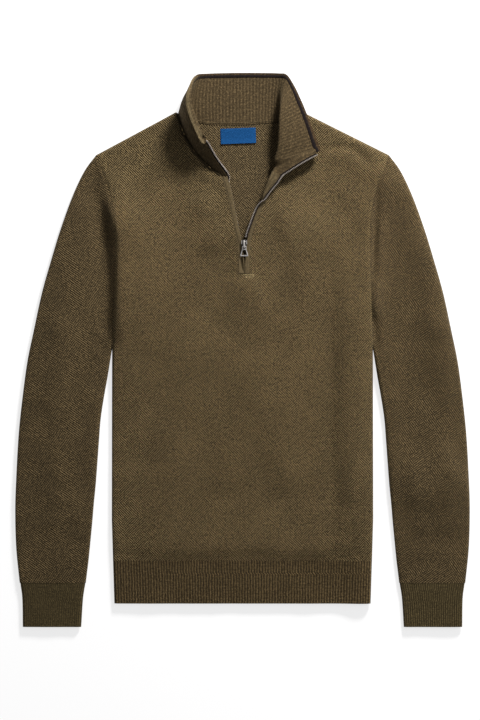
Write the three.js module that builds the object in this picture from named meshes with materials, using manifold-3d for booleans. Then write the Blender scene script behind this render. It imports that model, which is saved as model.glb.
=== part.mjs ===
// Quarter zip sweater laid flat on a surface, in millimetres.
// +Z is up, +Y runs from hem to collar, +X is to the viewer's right when looking down on it.
// Each cloth piece is a thin wall worked out from sections; pieces stand SEAM_GAP apart at their seams.
import * as THREE from "three";
import { mergeVertices } from "three/addons/utils/BufferGeometryUtils.js";
import Module from "manifold-3d";

const wasm = await Module();
wasm.setup();

// Plan sizes are read on a drawing grid: one grid step is GRID millimetres, x to the right, y down.
const GRID = 1.42;
const MID_X = 242.5;
const MID_Y = 349.5;
const X = (g) => (g - MID_X) * GRID;
const Y = (g) => (MID_Y - g) * GRID;

const WALL = 2.2; // knitted cloth
const SEAM_GAP = 0.3; // clearance where two pieces are sewn together
const RISE = 7.4; // top of the front above the surface, where nothing lifts it
const CUFF_RISE = 6.8;
const SEAM_LEVEL = 3.7; // height of side and shoulder seams
const FOLD = 5; // plan width over which an edge rounds off
const HEM_RIB = { pitch: 3.9, height: 0.55 };
const CUFF_RIB = { pitch: 3.1, height: 0.35 };
const COLLAR_RIB = { pitch: 4.7, height: 0.35 };
const HEM_TOP = 560.5; // grid rows of the main horizontal seams
const HEM_END = 603.5;
const CUFF_TOP = 583;
const CUFF_END = 627;
const UNDERARM = 349;
const SLEEVE_SHIFT = 1.3; // the sleeve's end beside the armhole
const SLOT_END = 274.5; // lower end of the zip opening

const COLOURS = {
  body: 0x5c4e37,
  rib: 0x4b3f2b,
  sleeve: 0x53472f,
  collar: 0x5b4e35,
  band: 0x51442e,
  tipping: 0x1d1a20,
  tape: 0x2a241c,
  metal: 0xa7a29b,
  label: 0x1d568c,
};

// Half widths from the middle line, outer boundary of the body: side seam, then armhole up to the shoulder.
const BODY_SIDE = [
  { half: 129.6, y: HEM_TOP },
  { half: 130.8, y: 520 },
  { half: 130.6, y: 400 },
  { half: 130.5, y: UNDERARM },
];
const ARMHOLE = [
  { half: 130.5, y: UNDERARM },
  { half: 128.5, y: 300 },
  { half: 127, y: 250 },
  { half: 127.5, y: 219 },
  { half: 130.5, y: 200 },
  { half: 137, y: 180 },
  { half: 143, y: 165 },
  { half: 146.5, y: 155 },
];
const HEM_SIDE = [
  { half: 129.6, y: HEM_TOP },
  { half: 128.2, y: HEM_END },
];
// A row for each section across the sleeve, from armhole to cuff.
const SLEEVE = [
  { outer: 146.5, outerY: 155, inner: 130.5, innerY: UNDERARM },
  { outer: 158.2, outerY: 171, inner: 132.6, innerY: 362 },
  { outer: 170, outerY: 196, inner: 135.2, innerY: 378 },
  { outer: 182, outerY: 229, inner: 138.6, innerY: 397 },
  { outer: 191.5, outerY: 260, inner: 141.9, innerY: 419 },
  { outer: 200.8, outerY: 293, inner: 143.7, innerY: 442 },
  { outer: 208.8, outerY: 330, inner: 145.3, innerY: 464 },
  { outer: 215.4, outerY: 362, inner: 146.9, innerY: 485 },
  { outer: 220.5, outerY: 400, inner: 148.7, innerY: 503 },
  { outer: 224, outerY: 434, inner: 150.3, innerY: 522 },
  { outer: 226.3, outerY: 474, inner: 152.3, innerY: 543 },
  { outer: 227.5, outerY: 510, inner: 154, innerY: 560 },
  { outer: 226.5, outerY: 548, inner: 155.6, innerY: 573 },
  { outer: 223, outerY: CUFF_TOP, inner: 156.8, innerY: CUFF_TOP },
];
const CUFF = [
  { outer: 222.4, outerY: CUFF_TOP, inner: 157.2, innerY: CUFF_TOP },
  { outer: 220.4, outerY: 599, inner: 159.6, innerY: 599 },
  { outer: 219.9, outerY: CUFF_END, inner: 161.4, innerY: CUFF_END },
];
// Inner boundary of each half of the front, from the slot's end up to the neck seam.
const FRONT_V = {
  left: [
    { x: 238.8, y: SLOT_END },
    { x: 237.6, y: 243 },
    { x: 233.6, y: 226 },
    { x: 230.5, y: 211 },
    { x: 227, y: 196 },
    { x: 221.3, y: 176.5 },
  ],
  right: [
    { x: 249.8, y: SLOT_END },
    { x: 250.3, y: 243 },
    { x: 256.5, y: 222 },
    { x: 264.5, y: 203 },
    { x: 268.3, y: 190 },
    { x: 274.5, y: 172 },
  ],
};
const FRONT_NECK = {
  left: [
    { x: 221.3, y: 176.5 },
    { x: 208, y: 168 },
    { x: 193, y: 152 },
    { x: 181.5, y: 132 },
    { x: 176, y: 112 },
  ],
  right: [
    { x: 274.5, y: 172 },
    { x: 279, y: 163 },
    { x: 284.5, y: 150 },
    { x: 292, y: 131 },
    { x: 299, y: 110 },
  ],
};
const BACK_NECK = {
  left: [
    { x: 242.5, y: 125.4 },
    { x: 208, y: 125 },
    { x: 192, y: 121.5 },
    { x: 176, y: 112 },
  ],
  right: [
    { x: 242.5, y: 125.4 },
    { x: 277, y: 122.8 },
    { x: 289, y: 118.5 },
    { x: 299, y: 110 },
  ],
};
// Soft ridges of the top layer: a line from (x1, y1) to (x2, y2), its spread to each side and its height in mm.
const RIDGES = [
  { x1: 116, y1: 185, x2: 118, y2: 330, spread: 12, height: 3.2 },
  { x1: 369, y1: 195, x2: 369, y2: 330, spread: 9, height: 2.4 },
  { x1: 362, y1: 265, x2: 362, y2: 600, spread: 14, height: 3.4 },
  { x1: 345, y1: 158, x2: 384, y2: 182, spread: 13, height: 2.6 },
  { x1: 227, y1: 182, x2: 241, y2: 262, spread: 11, height: 3.6 },
  { x1: 268, y1: 186, x2: 252, y2: 232, spread: 13, height: 3.4 },
  { x1: 180, y1: 128, x2: 160, y2: 150, spread: 14, height: 1.6 },
  { x1: 88, y1: 215, x2: 60, y2: 330, spread: 16, height: 3 },
  { x1: 60, y1: 330, x2: 50, y2: 520, spread: 15, height: 3.2 },
  { x1: 97, y1: 400, x2: 90, y2: 470, spread: 9, height: 1.6 },
  { x1: 408, y1: 190, x2: 440, y2: 330, spread: 15, height: 3.4 },
  { x1: 440, y1: 330, x2: 450, y2: 520, spread: 14, height: 3.2 },
  { x1: 383, y1: 228, x2: 379, y2: 262, spread: 5, height: 1.8 },
  { x1: 392, y1: 400, x2: 400, y2: 500, spread: 8, height: 1.4 },
];
// Sections of the collar from the left zip edge round the back to the right one:
// seam, fold or half way, and top edge, plan in grid steps and level in mm at the middle of the wall.
const COLLAR = [
  { seamX: 227.7, seamY: 176, seamZ: 8.8, midX: 214, midY: 158, midZ: 24, topX: 203.8, topY: 139, topZ: 38 },
  { seamX: 221.4, seamY: 175, seamZ: 8.2, midX: 208.5, midY: 153, midZ: 26, topX: 200.5, topY: 132, topZ: 42 },
  { seamX: 209.6, seamY: 166.2, seamZ: 6.8, midX: 199, midY: 143, midZ: 28, topX: 196, topY: 121, topZ: 47 },
  { seamX: 194.9, seamY: 151, seamZ: 6.8, midX: 189.5, midY: 129, midZ: 30, topX: 192.4, topY: 109, topZ: 50 },
  { seamX: 183.8, seamY: 131.2, seamZ: 6.4, midX: 183.6, midY: 114, midZ: 30, topX: 191, topY: 98, topZ: 49 },
  { seamX: 178.9, seamY: 113.2, seamZ: 4.8, midX: 183, midY: 102.5, midZ: 27, topX: 192, topY: 89, topZ: 41 },
  { seamX: 185.2, seamY: 115.9, seamZ: 2.6, midX: 188, midY: 96, midZ: 17, topX: 194.6, topY: 81, topZ: 28 },
  { seamX: 193.4, seamY: 120.3, seamZ: 1.5, midX: 194, midY: 97, midZ: 7, topX: 199, topY: 75.2, topZ: 13 },
  { seamX: 208, seamY: 124.1, seamZ: 1.5, midX: 207, midY: 99, midZ: 2.2, topX: 209, topY: 73.4, topZ: 4 },
  { seamX: 225, seamY: 124.4, seamZ: 1.5, midX: 225, midY: 99, midZ: 1.5, topX: 226, topY: 72.7, topZ: 1.6 },
  { seamX: 243, seamY: 124.5, seamZ: 1.5, midX: 243, midY: 99, midZ: 1.5, topX: 243, topY: 72.5, topZ: 1.6 },
  { seamX: 261, seamY: 123.1, seamZ: 1.5, midX: 261, midY: 98.5, midZ: 1.5, topX: 262, topY: 72.6, topZ: 1.6 },
  { seamX: 276.3, seamY: 121.8, seamZ: 1.5, midX: 276, midY: 99, midZ: 3, topX: 279, topY: 73.2, topZ: 4 },
  { seamX: 286.6, seamY: 117.7, seamZ: 2.6, midX: 279.4, midY: 100, midZ: 13, topX: 287, topY: 75.4, topZ: 9 },
  { seamX: 293.2, seamY: 112.8, seamZ: 4, midX: 278, midY: 107, midZ: 22, topX: 294, topY: 87, topZ: 15 },
  { seamX: 296.6, seamY: 111.2, seamZ: 5.6, midX: 276.6, midY: 114, midZ: 25, topX: 299.4, topY: 98.5, topZ: 16 },
  { seamX: 292.2, seamY: 125, seamZ: 7.2, midX: 275.8, midY: 124, midZ: 25.5, topX: 304, topY: 109, topZ: 16 },
  { seamX: 287.2, seamY: 140, seamZ: 7.6, midX: 275.2, midY: 138, midZ: 24, topX: 309.3, topY: 122.5, topZ: 16.5 },
  { seamX: 281.5, seamY: 154, seamZ: 8.4, midX: 274.6, midY: 151, midZ: 21.5, topX: 314.5, topY: 136.5, topZ: 17 },
  { seamX: 276.6, seamY: 165, seamZ: 9.4, midX: 273.6, midY: 161, midZ: 18.5, topX: 318.6, topY: 146.8, topZ: 17.5 },
  { seamX: 273.6, seamY: 171.6, seamZ: 13.6, midX: 294, midY: 159.5, midZ: 20.5, topX: 319.7, topY: 149.4, topZ: 18 },
  { seamX: 279.6, seamY: 175.8, seamZ: 17.4, midX: 299.5, midY: 163, midZ: 21, topX: 320, topY: 151.6, topZ: 18 },
];
// Strips beside the zip: their free edge beside the teeth. The base follows the front's own edge.
// lift raises the base and freeZ sets the free edge where the strip folds back; null follows the front.
const BAND = {
  left: [
    { freeX: 243.7, y: 273.7, lift: 0, freeZ: null },
    { freeX: 242.2, y: 250, lift: 0, freeZ: null },
    { freeX: 241, y: 238, lift: 0, freeZ: null },
    { freeX: 238.4, y: 226, lift: 0, freeZ: null },
    { freeX: 235.4, y: 211, lift: 0, freeZ: null },
    { freeX: 232.6, y: 196, lift: 0, freeZ: null },
    { freeX: 230, y: 185.5, lift: 0, freeZ: null },
    { freeX: 227.7, y: 177.6, lift: 0, freeZ: null },
  ],
  right: [
    { freeX: 244.7, y: 273.7, lift: 0, freeZ: null },
    { freeX: 246, y: 250, lift: 0, freeZ: null },
    { freeX: 247.6, y: 238, lift: 0, freeZ: null },
    { freeX: 251.4, y: 226, lift: 0, freeZ: null },
    { freeX: 257.6, y: 211, lift: 0.3, freeZ: null },
    { freeX: 261.4, y: 203, lift: 1.6, freeZ: 13.5 },
    { freeX: 265, y: 196, lift: 2.6, freeZ: 16.5 },
    { freeX: 270.4, y: 190, lift: 3, freeZ: 18.5 },
    { freeX: 276.2, y: 182, lift: 3, freeZ: 19.6 },
    { freeX: 279.6, y: 177.4, lift: 3, freeZ: 19.2 },
  ],
};
const SLIDER = { x: 244.2, y: 244.2, width: 8.6, length: 12.6, plate: 1.5, bridgeWidth: 2.8, bridgeRise: 3.4 };
const PULL = { rod: 1.2, armGap: 3.9, ring: 4.2, length: 14, topWidth: 6.6, endWidth: 11.4, frame: 1.5 };
const LABEL = { x: 238.3, y: 135.6, width: 50, depth: 22, thickness: 0.6, turn: 2 };

const lerp = (a, b, s) => a + (b - a) * s;
const smooth = (v) => {
  const c = Math.min(1, Math.max(0, v));
  return c * c * (3 - 2 * c);
};

// Plan points in mm from a table of half widths on one side (-1 left, 1 right).
function sidePath(table, side) {
  return table.map((row) => new THREE.Vector2(side * row.half * GRID, Y(row.y)));
}
const planPath = (table) => table.map((row) => new THREE.Vector2(X(row.x), Y(row.y)));

function pathLength(path) {
  let length = 0;
  for (let i = 1; i < path.length; i++) length += path[i].distanceTo(path[i - 1]);
  return length;
}
// The point at a distance along a polyline.
function pathPoint(path, distance) {
  let left = Math.max(0, distance);
  for (let i = 1; i < path.length; i++) {
    const step = path[i].distanceTo(path[i - 1]);
    if (left <= step || i === path.length - 1) return path[i - 1].clone().lerp(path[i], Math.min(1, left / step));
    left -= step;
  }
  return path[0].clone();
}
// The point of a downward polyline at a given level of y.
function pathAtY(path, y) {
  for (let i = 1; i < path.length; i++) {
    const a = path[i - 1];
    const b = path[i];
    if (y <= b.y || i === path.length - 1) return new THREE.Vector2(lerp(a.x, b.x, (y - a.y) / (b.y - a.y)), y);
  }
  return path[0].clone();
}

// Level of the top layer's outer face away from the edges.
function topLevel(x, y, rise = RISE) {
  let z = rise;
  for (const r of RIDGES) {
    const ax = X(r.x1);
    const ay = Y(r.y1);
    const bx = X(r.x2) - ax;
    const by = Y(r.y2) - ay;
    const s = Math.min(1, Math.max(0, ((x - ax) * bx + (y - ay) * by) / (bx * bx + by * by)));
    const d = Math.hypot(x - ax - s * bx, y - ay - s * by) / (r.spread * GRID);
    z += r.height * Math.exp(-d * d);
  }
  return z;
}

// Distance from a plan point to the nearest rounded edge, and the direction away from it.
// An edge is { path, inside } where inside is 1 if the cloth lies to the left of the path's run, else -1.
function nearestEdge(p, edges) {
  let best = { d: Infinity, away: new THREE.Vector2(0, 0) };
  for (const { path, inside } of edges) {
    for (let i = 1; i < path.length; i++) {
      const a = path[i - 1];
      const run = path[i].clone().sub(a);
      const s = Math.min(1, Math.max(0, p.clone().sub(a).dot(run) / run.lengthSq()));
      const foot = a.clone().addScaledVector(run, s);
      const d = foot.distanceTo(p);
      if (d < best.d - 1e-9) {
        const normal = new THREE.Vector2(-run.y, run.x).normalize().multiplyScalar(inside);
        best = { d, away: d > 0.02 ? p.clone().sub(foot).normalize() : normal };
      }
    }
  }
  return best;
}

// Outer and inner point of a layer that rounds down to (or up to) the seam level at its edges.
function layerPoint(p, edges, isTop, seam, raise = 0, rise = RISE) {
  const { d, away } = nearestEdge(p, edges);
  const a = d < FOLD ? Math.acos(1 - d / FOLD) : Math.PI / 2;
  const inset = d < FOLD ? FOLD - (FOLD - WALL) * Math.cos(a) - d : 0;
  const level = isTop ? topLevel(p.x, p.y, rise) : 0;
  const wall = isTop ? -WALL : WALL;
  const lift = raise * smooth(d / (1.6 * FOLD));
  return {
    outer: new THREE.Vector3(p.x, p.y, lerp(seam, level, Math.sin(a)) + lift),
    inner: new THREE.Vector3(p.x + away.x * inset, p.y + away.y * inset, lerp(seam, level + wall, Math.sin(a))),
  };
}

// A closed wall from matching outer and inner points. Faces turn anticlockwise seen from outside.
function wallGeometry(points, faces) {
  const n = points.length;
  const position = [];
  for (const p of points) position.push(p.outer.x, p.outer.y, p.outer.z);
  for (const p of points) position.push(p.inner.x, p.inner.y, p.inner.z);
  const index = [];
  const seen = new Map();
  for (const [a, b, c] of faces) {
    index.push(a, b, c, a + n, c + n, b + n);
    for (const [u, v] of [[a, b], [b, c], [c, a]]) {
      seen.set(u + "_" + v, [u, v]);
    }
  }
  for (const [u, v] of seen.values()) {
    if (seen.has(v + "_" + u)) continue;
    index.push(v, u, u + n, v, u + n, v + n);
  }
  const geometry = new THREE.BufferGeometry();
  geometry.setAttribute("position", new THREE.Float32BufferAttribute(position, 3));
  geometry.setIndex(index);
  geometry.computeVertexNormals();
  return geometry;
}

// Two triangles for each cell of a grid of rows x columns of point numbers; null leaves a cell out.
function gridFaces(rows, flip, closed = false) {
  const faces = [];
  for (let i = 1; i < rows.length; i++) {
    const columns = rows[i].length;
    for (let j = closed ? 0 : 1; j < columns; j++) {
      const k = (j + columns - 1) % columns;
      const quad = [rows[i - 1][k], rows[i - 1][j], rows[i][j], rows[i][k]];
      if (quad.includes(null)) continue;
      const [a, b, c, d] = flip ? quad.toReversed() : quad;
      faces.push([a, b, c], [a, c, d]);
    }
  }
  return faces;
}

function mesh(name, geometry, colour, roughness = 0.95, metalness = 0) {
  const made = new THREE.Mesh(geometry, new THREE.MeshStandardMaterial({ color: colour, roughness, metalness }));
  made.name = name;
  return made;
}

// Shares of the way across that place extra columns in the rounded edges.
const EDGE_STEPS = [0, 0.134 * FOLD, 0.5 * FOLD, FOLD];

// One body panel: left and right halves share the middle column up to the slot, or up to the neck.
function bodyPanel({ isTop, slotY, vPaths, neckPaths, rowsBelow, rowsAbove, neckRows, columns }) {
  const seam = SEAM_LEVEL + (isTop ? 0.5 : -0.5) * SEAM_GAP;
  const points = [];
  const faces = [];
  const middle = new Map();
  const hemY = Y(HEM_TOP) + SEAM_GAP / 2;
  const slot = Y(slotY);
  for (const side of [-1, 1]) {
    const key = side < 0 ? "left" : "right";
    const outline = [...sidePath(BODY_SIDE, side), ...sidePath(ARMHOLE, side).slice(1)];
    const armhole = outline.filter((p) => p.y > slot);
    armhole.unshift(pathAtY(outline, slot));
    const vPath = planPath(vPaths[key]);
    const neck = planPath(neckPaths[key]);
    const shoulder = [armhole.at(-1), neck.at(-1)];
    const edges = [
      { path: sidePath(BODY_SIDE, side), inside: side < 0 ? -1 : 1 },
      { path: shoulder, inside: side < 0 ? -1 : 1 },
    ];
    const rowEnds = [];
    for (let i = 0; i <= rowsBelow; i++) {
      const y = lerp(hemY, slot, i / rowsBelow);
      rowEnds.push({ from: pathAtY(outline, y), to: new THREE.Vector2(vPath[0].x, y), strip: true });
    }
    const armLength = pathLength(armhole);
    const vLength = pathLength(vPath);
    const neckLength = pathLength(neck);
    const armToCorner = armLength * 0.6;
    for (let i = 1; i <= rowsAbove; i++) {
      const s = i / rowsAbove;
      if (vLength > 0) rowEnds.push({ from: pathPoint(armhole, armToCorner * s), to: pathPoint(vPath, vLength * s) });
    }
    const start = vLength > 0 ? armToCorner : 0;
    const lastSteps = EDGE_STEPS.slice(0, -1).toReversed();
    for (let i = 1; i <= neckRows; i++) {
      const s = i / neckRows;
      const from = pathPoint(armhole, lerp(start, armLength - FOLD, s));
      rowEnds.push({ from, to: pathPoint(neck, (neckLength - FOLD) * s) });
    }
    for (const step of lastSteps) {
      rowEnds.push({ from: pathPoint(armhole, armLength - step), to: pathPoint(neck, neckLength - step) });
    }
    const rows = rowEnds.map(({ from, to, strip }) => {
      const width = from.distanceTo(to);
      const shares = EDGE_STEPS.map((step) => step / width);
      const first = shares.at(-1);
      for (let j = 1; j <= columns; j++) shares.push(lerp(first, 1, j / columns));
      const row = shares.map((s) => {
        points.push(layerPoint(from.clone().lerp(to, s), edges, isTop, seam));
        return points.length - 1;
      });
      if (strip) {
        const level = to.y.toFixed(4);
        if (!middle.has(level)) {
          points.push(layerPoint(new THREE.Vector2(X(244.2), to.y), edges, isTop, seam));
          middle.set(level, points.length - 1);
        }
        row.push(middle.get(level));
      } else {
        row.push(null);
      }
      return row;
    });
    faces.push(...gridFaces(rows, (side > 0) === isTop));
  }
  return wallGeometry(points, faces);
}

// The back has no slot: its middle column runs up to the back neck.
function backPanel() {
  const points = [];
  const faces = [];
  const seam = SEAM_LEVEL - SEAM_GAP / 2;
  const hemY = Y(HEM_TOP) + SEAM_GAP / 2;
  const middle = new Map();
  for (const side of [-1, 1]) {
    const neck = planPath(BACK_NECK[side < 0 ? "left" : "right"]);
    const outline = [...sidePath(BODY_SIDE, side), ...sidePath(ARMHOLE, side).slice(1)];
    const shoulder = [outline.at(-1), neck.at(-1)];
    const edges = [
      { path: sidePath(BODY_SIDE, side), inside: side < 0 ? -1 : 1 },
      { path: shoulder, inside: side < 0 ? -1 : 1 },
    ];
    const length = pathLength(outline);
    const neckLength = pathLength(neck);
    const turn = length * 0.88;
    const rowEnds = [];
    const below = 9;
    for (let i = 0; i <= below; i++) {
      const s = i / below;
      const from = pathPoint(outline, turn * s);
      rowEnds.push({ from, to: new THREE.Vector2(neck[0].x, lerp(hemY, neck[0].y, s)) });
    }
    rowEnds[0].from.y = hemY;
    for (let i = 1; i <= 7; i++) {
      const s = i / 7;
      const from = pathPoint(outline, lerp(turn, length - FOLD, s));
      rowEnds.push({ from, to: pathPoint(neck, (neckLength - FOLD) * s) });
    }
    for (const step of EDGE_STEPS.slice(0, -1).toReversed()) {
      rowEnds.push({ from: pathPoint(outline, length - step), to: pathPoint(neck, neckLength - step) });
    }
    const columns = 4;
    const rows = rowEnds.map(({ from, to }, number) => {
      const width = from.distanceTo(to);
      const shares = EDGE_STEPS.map((step) => step / width);
      const first = shares.at(-1);
      for (let j = 1; j <= columns; j++) shares.push(lerp(first, 1, j / columns));
      return shares.map((s, j) => {
        const shared = j === shares.length - 1 && number <= below;
        if (shared && middle.has(number)) return middle.get(number);
        points.push(layerPoint(from.clone().lerp(to, s), edges, false, seam));
        if (shared) middle.set(number, points.length - 1);
        return points.length - 1;
      });
    });
    faces.push(...gridFaces(rows, side < 0));
  }
  return wallGeometry(points, faces);
}

// Places across a flat tube: rounded edges at both ends and even or ribbed columns between.
function acrossShares(width, columns) {
  const shares = EDGE_STEPS.map((step) => step / width);
  const first = shares.at(-1);
  for (let j = 1; j < columns; j++) shares.push(lerp(first, 1 - first, j / columns));
  return [...shares, ...EDGE_STEPS.map((step) => 1 - step / width).toReversed()];
}

// A flat tube from sections: each gives a plan point for a share across it.
function flatTube({ sections, edges, side, topColumns, underColumns, ribs, rise }) {
  const points = [];
  const rows = sections.map((section) => {
    const row = [];
    const width = section(0).distanceTo(section(1));
    const top = acrossShares(width, topColumns);
    const under = acrossShares(width, underColumns).toReversed().slice(1, -1);
    top.forEach((s, j) => {
      const raise = ribs && j % 2 === 0 ? ribs.height : 0;
      points.push(layerPoint(section(s), edges, true, SEAM_LEVEL, raise, rise));
      row.push(points.length - 1);
    });
    for (const s of under) {
      points.push(layerPoint(section(s), edges, false, SEAM_LEVEL));
      row.push(points.length - 1);
    }
    return row;
  });
  return wallGeometry(points, gridFaces(rows, side < 0, true));
}

function sleeve(side) {
  const outerPath = SLEEVE.map((r) => new THREE.Vector2(side * r.outer * GRID, Y(r.outerY)));
  const innerPath = SLEEVE.map((r) => new THREE.Vector2(side * r.inner * GRID, Y(r.innerY)));
  const armhole = sidePath(ARMHOLE, side).toReversed();
  const armLength = pathLength(armhole);
  const last = SLEEVE.length - 1;
  for (const path of [outerPath, innerPath]) {
    path[0].x += side * SLEEVE_SHIFT;
    path[last].y += SEAM_GAP / 2;
  }
  const sections = SLEEVE.map((_, i) => (s) => {
    const fade = Math.pow(1 - i / last, 1.6);
    const chord = outerPath[0].clone().lerp(innerPath[0], s);
    const bow = pathPoint(armhole, armLength * s);
    bow.x += side * SLEEVE_SHIFT;
    bow.sub(chord).multiplyScalar(fade);
    return outerPath[i].clone().lerp(innerPath[i], s).add(bow);
  });
  const edges = [
    { path: outerPath, inside: side < 0 ? 1 : -1 },
    { path: innerPath, inside: side < 0 ? -1 : 1 },
  ];
  return flatTube({ sections, edges, side, topColumns: 9, underColumns: 4 });
}

function cuff(side) {
  const outerPath = CUFF.map((r) => new THREE.Vector2(side * r.outer * GRID, Y(r.outerY)));
  const innerPath = CUFF.map((r) => new THREE.Vector2(side * r.inner * GRID, Y(r.innerY)));
  outerPath[0].y -= SEAM_GAP / 2;
  innerPath[0].y -= SEAM_GAP / 2;
  const edges = [
    { path: outerPath, inside: side < 0 ? 1 : -1 },
    { path: innerPath, inside: side < 0 ? -1 : 1 },
  ];
  const sections = CUFF.map((_, i) => (s) => outerPath[i].clone().lerp(innerPath[i], s));
  const width = outerPath[0].distanceTo(innerPath[0]);
  const topColumns = 2 * Math.round((width - 2 * FOLD) / CUFF_RIB.pitch);
  return flatTube({ sections, edges, side, topColumns, underColumns: 4, ribs: CUFF_RIB, rise: CUFF_RISE });
}

function hemBand() {
  const left = sidePath(HEM_SIDE, -1);
  const right = sidePath(HEM_SIDE, 1);
  left[0].y -= SEAM_GAP / 2;
  right[0].y -= SEAM_GAP / 2;
  const edges = [
    { path: left, inside: 1 },
    { path: right, inside: -1 },
  ];
  const sections = HEM_SIDE.map((_, i) => (s) => left[i].clone().lerp(right[i], s));
  const width = left[0].distanceTo(right[0]);
  const topColumns = 2 * Math.round((width - 2 * FOLD) / HEM_RIB.pitch);
  return flatTube({ sections, edges, side: -1, topColumns, underColumns: 6, ribs: HEM_RIB, rise: RISE - 0.4 });
}

// A smooth point through table rows at a running number u, for the columns named by prefix.
function alongRows(rows, prefix, u) {
  const value = (row) => new THREE.Vector3(X(row[prefix + "X"]), Y(row[prefix + "Y"]), row[prefix + "Z"]);
  const i = Math.min(rows.length - 2, Math.floor(u));
  const s = u - i;
  const at = (k) => value(rows[Math.min(rows.length - 1, Math.max(0, k))]);
  const [a, b, c, d] = [at(i - 1), at(i), at(i + 1), at(i + 2)];
  const tangentB = c.clone().sub(a).multiplyScalar(0.5);
  const tangentC = d.clone().sub(b).multiplyScalar(0.5);
  return new THREE.Vector3()
    .addScaledVector(b, 1 - 3 * s * s + 2 * s * s * s)
    .addScaledVector(c, 3 * s * s - 2 * s * s * s)
    .addScaledVector(tangentB, s - 2 * s * s + s * s * s)
    .addScaledVector(tangentC, s * s * s - s * s);
}

const CREASE = 0.16; // share of the collar's height over which its fold rounds off
// Point of the collar's middle surface: u along the table's rows, v from seam (0) to top edge (1).
function collarPoint(u, v) {
  const seam = alongRows(COLLAR, "seam", u);
  const mid = alongRows(COLLAR, "mid", u);
  const top = alongRows(COLLAR, "top", u);
  const lower = seam.distanceTo(mid);
  const share = Math.min(0.72, Math.max(0.28, lower / (lower + mid.distanceTo(top))));
  const along = (w) => (w < share ? seam.clone().lerp(mid, w / share) : mid.clone().lerp(top, (w - share) / (1 - share)));
  const from = share - CREASE;
  const to = share + CREASE;
  if (v <= from || v >= to) return along(v);
  const s = (v - from) / (to - from);
  const a = along(from);
  const b = along(to);
  return a.lerp(mid, s).lerp(mid.clone().lerp(b, s), s);
}
function collarNormal(u, v) {
  const step = 0.02;
  const last = COLLAR.length - 1;
  const du = collarPoint(Math.min(last, u + step), v).sub(collarPoint(Math.max(0, u - step), v));
  const dv = collarPoint(u, Math.min(1, v + step)).sub(collarPoint(u, Math.max(0, v - step)));
  return du.cross(dv).normalize();
}
// Running numbers u at even steps along the collar's upper half, so that its ribs are evenly wide.
function collarSteps(pitch) {
  const last = COLLAR.length - 1;
  const fine = 600;
  const lengths = [0];
  for (let i = 1; i <= fine; i++) {
    const a = collarPoint((last * (i - 1)) / fine, 0.5);
    const b = collarPoint((last * i) / fine, 0.5);
    lengths.push(lengths[i - 1] + a.distanceTo(b));
  }
  const count = Math.round(lengths[fine] / pitch);
  const steps = [];
  let k = 0;
  for (let j = 0; j <= count; j++) {
    const want = (lengths[fine] * j) / count;
    while (k < fine - 1 && lengths[k + 1] < want) k++;
    const part = (want - lengths[k]) / (lengths[k + 1] - lengths[k]);
    steps.push((last * (k + Math.min(1, part))) / fine);
  }
  return steps;
}
const COLLAR_LEVELS = [0, 0.24, 0.38, 0.52, 0.72, 1];

function collar() {
  const points = [];
  const steps = collarSteps(COLLAR_RIB.pitch / 2);
  const rows = COLLAR_LEVELS.map((v) =>
    steps.map((u, j) => {
      const p = collarPoint(u, v);
      const n = collarNormal(u, v);
      const half = WALL / 2 + (j % 2 === 1 ? COLLAR_RIB.height / 2 : 0);
      const outer = p.clone().addScaledVector(n, half);
      const inner = p.clone().addScaledVector(n, -half);
      points.push({ outer, inner });
      return points.length - 1;
    }),
  );
  return wallGeometry(points, gridFaces(rows, false));
}

// A stripe on the collar's inner face, made from its points moved out.
function collarTipping() {
  const points = [];
  const steps = collarSteps(COLLAR_RIB.pitch * 1.5);
  const rows = [0.915, 0.955].map((v) =>
    steps.map((u) => {
      const p = collarPoint(u, v);
      const n = collarNormal(u, v);
      const low = WALL / 2 + COLLAR_RIB.height / 2 + SEAM_GAP;
      points.push({ outer: p.clone().addScaledVector(n, low + 0.5), inner: p.clone().addScaledVector(n, low) });
      return points.length - 1;
    }),
  );
  return wallGeometry(points, gridFaces(rows, false));
}

// Middle surface of a strip beside the zip: k runs along its table, s from base (0) to free edge (1).
function bandPoint(side, k, s) {
  const rows = BAND[side];
  const i = Math.min(rows.length - 2, Math.floor(k));
  const w = k - i;
  const ends = [rows[i], rows[i + 1]].map((row) => {
    const y = Y(row.y);
    const away = 1.6 * SEAM_GAP + (row.lift > 0 ? 0.9 : 0);
    const bx = pathAtY(planPath(FRONT_V[side]), y).x + (side === "left" ? away : -away);
    const fx = X(row.freeX);
    const bz = topLevel(bx, y) - WALL / 2 + row.lift;
    const fz = row.freeZ ?? topLevel(fx, y) - WALL / 2;
    return { base: new THREE.Vector3(bx, y, bz), free: new THREE.Vector3(fx, y, fz) };
  });
  return ends[0].base.lerp(ends[1].base, w).lerp(ends[0].free.lerp(ends[1].free, w), s);
}
function zipBand(side) {
  const rows = BAND[side];
  const points = [];
  const thickness = WALL * 0.8;
  const place = (k, s) => {
    const ds = bandPoint(side, k, 1).sub(bandPoint(side, k, 0)).normalize();
    const dk = bandPoint(side, Math.min(rows.length - 1, k + 0.1), s).sub(bandPoint(side, Math.max(0, k - 0.1), s));
    const n = ds.cross(dk).normalize().multiplyScalar(side === "left" ? 1 : -1);
    const p = bandPoint(side, k, s);
    const outer = p.clone().addScaledVector(n, thickness / 2);
    points.push({ outer, inner: p.clone().addScaledVector(n, -thickness / 2) });
    return points.length - 1;
  };
  const grid = [];
  for (let k = 0; k <= rows.length - 1; k += 0.5) grid.push([0, 0.5, 1].map((s) => place(k, s)));
  return wallGeometry(points, gridFaces(grid, side === "right"));
}

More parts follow.
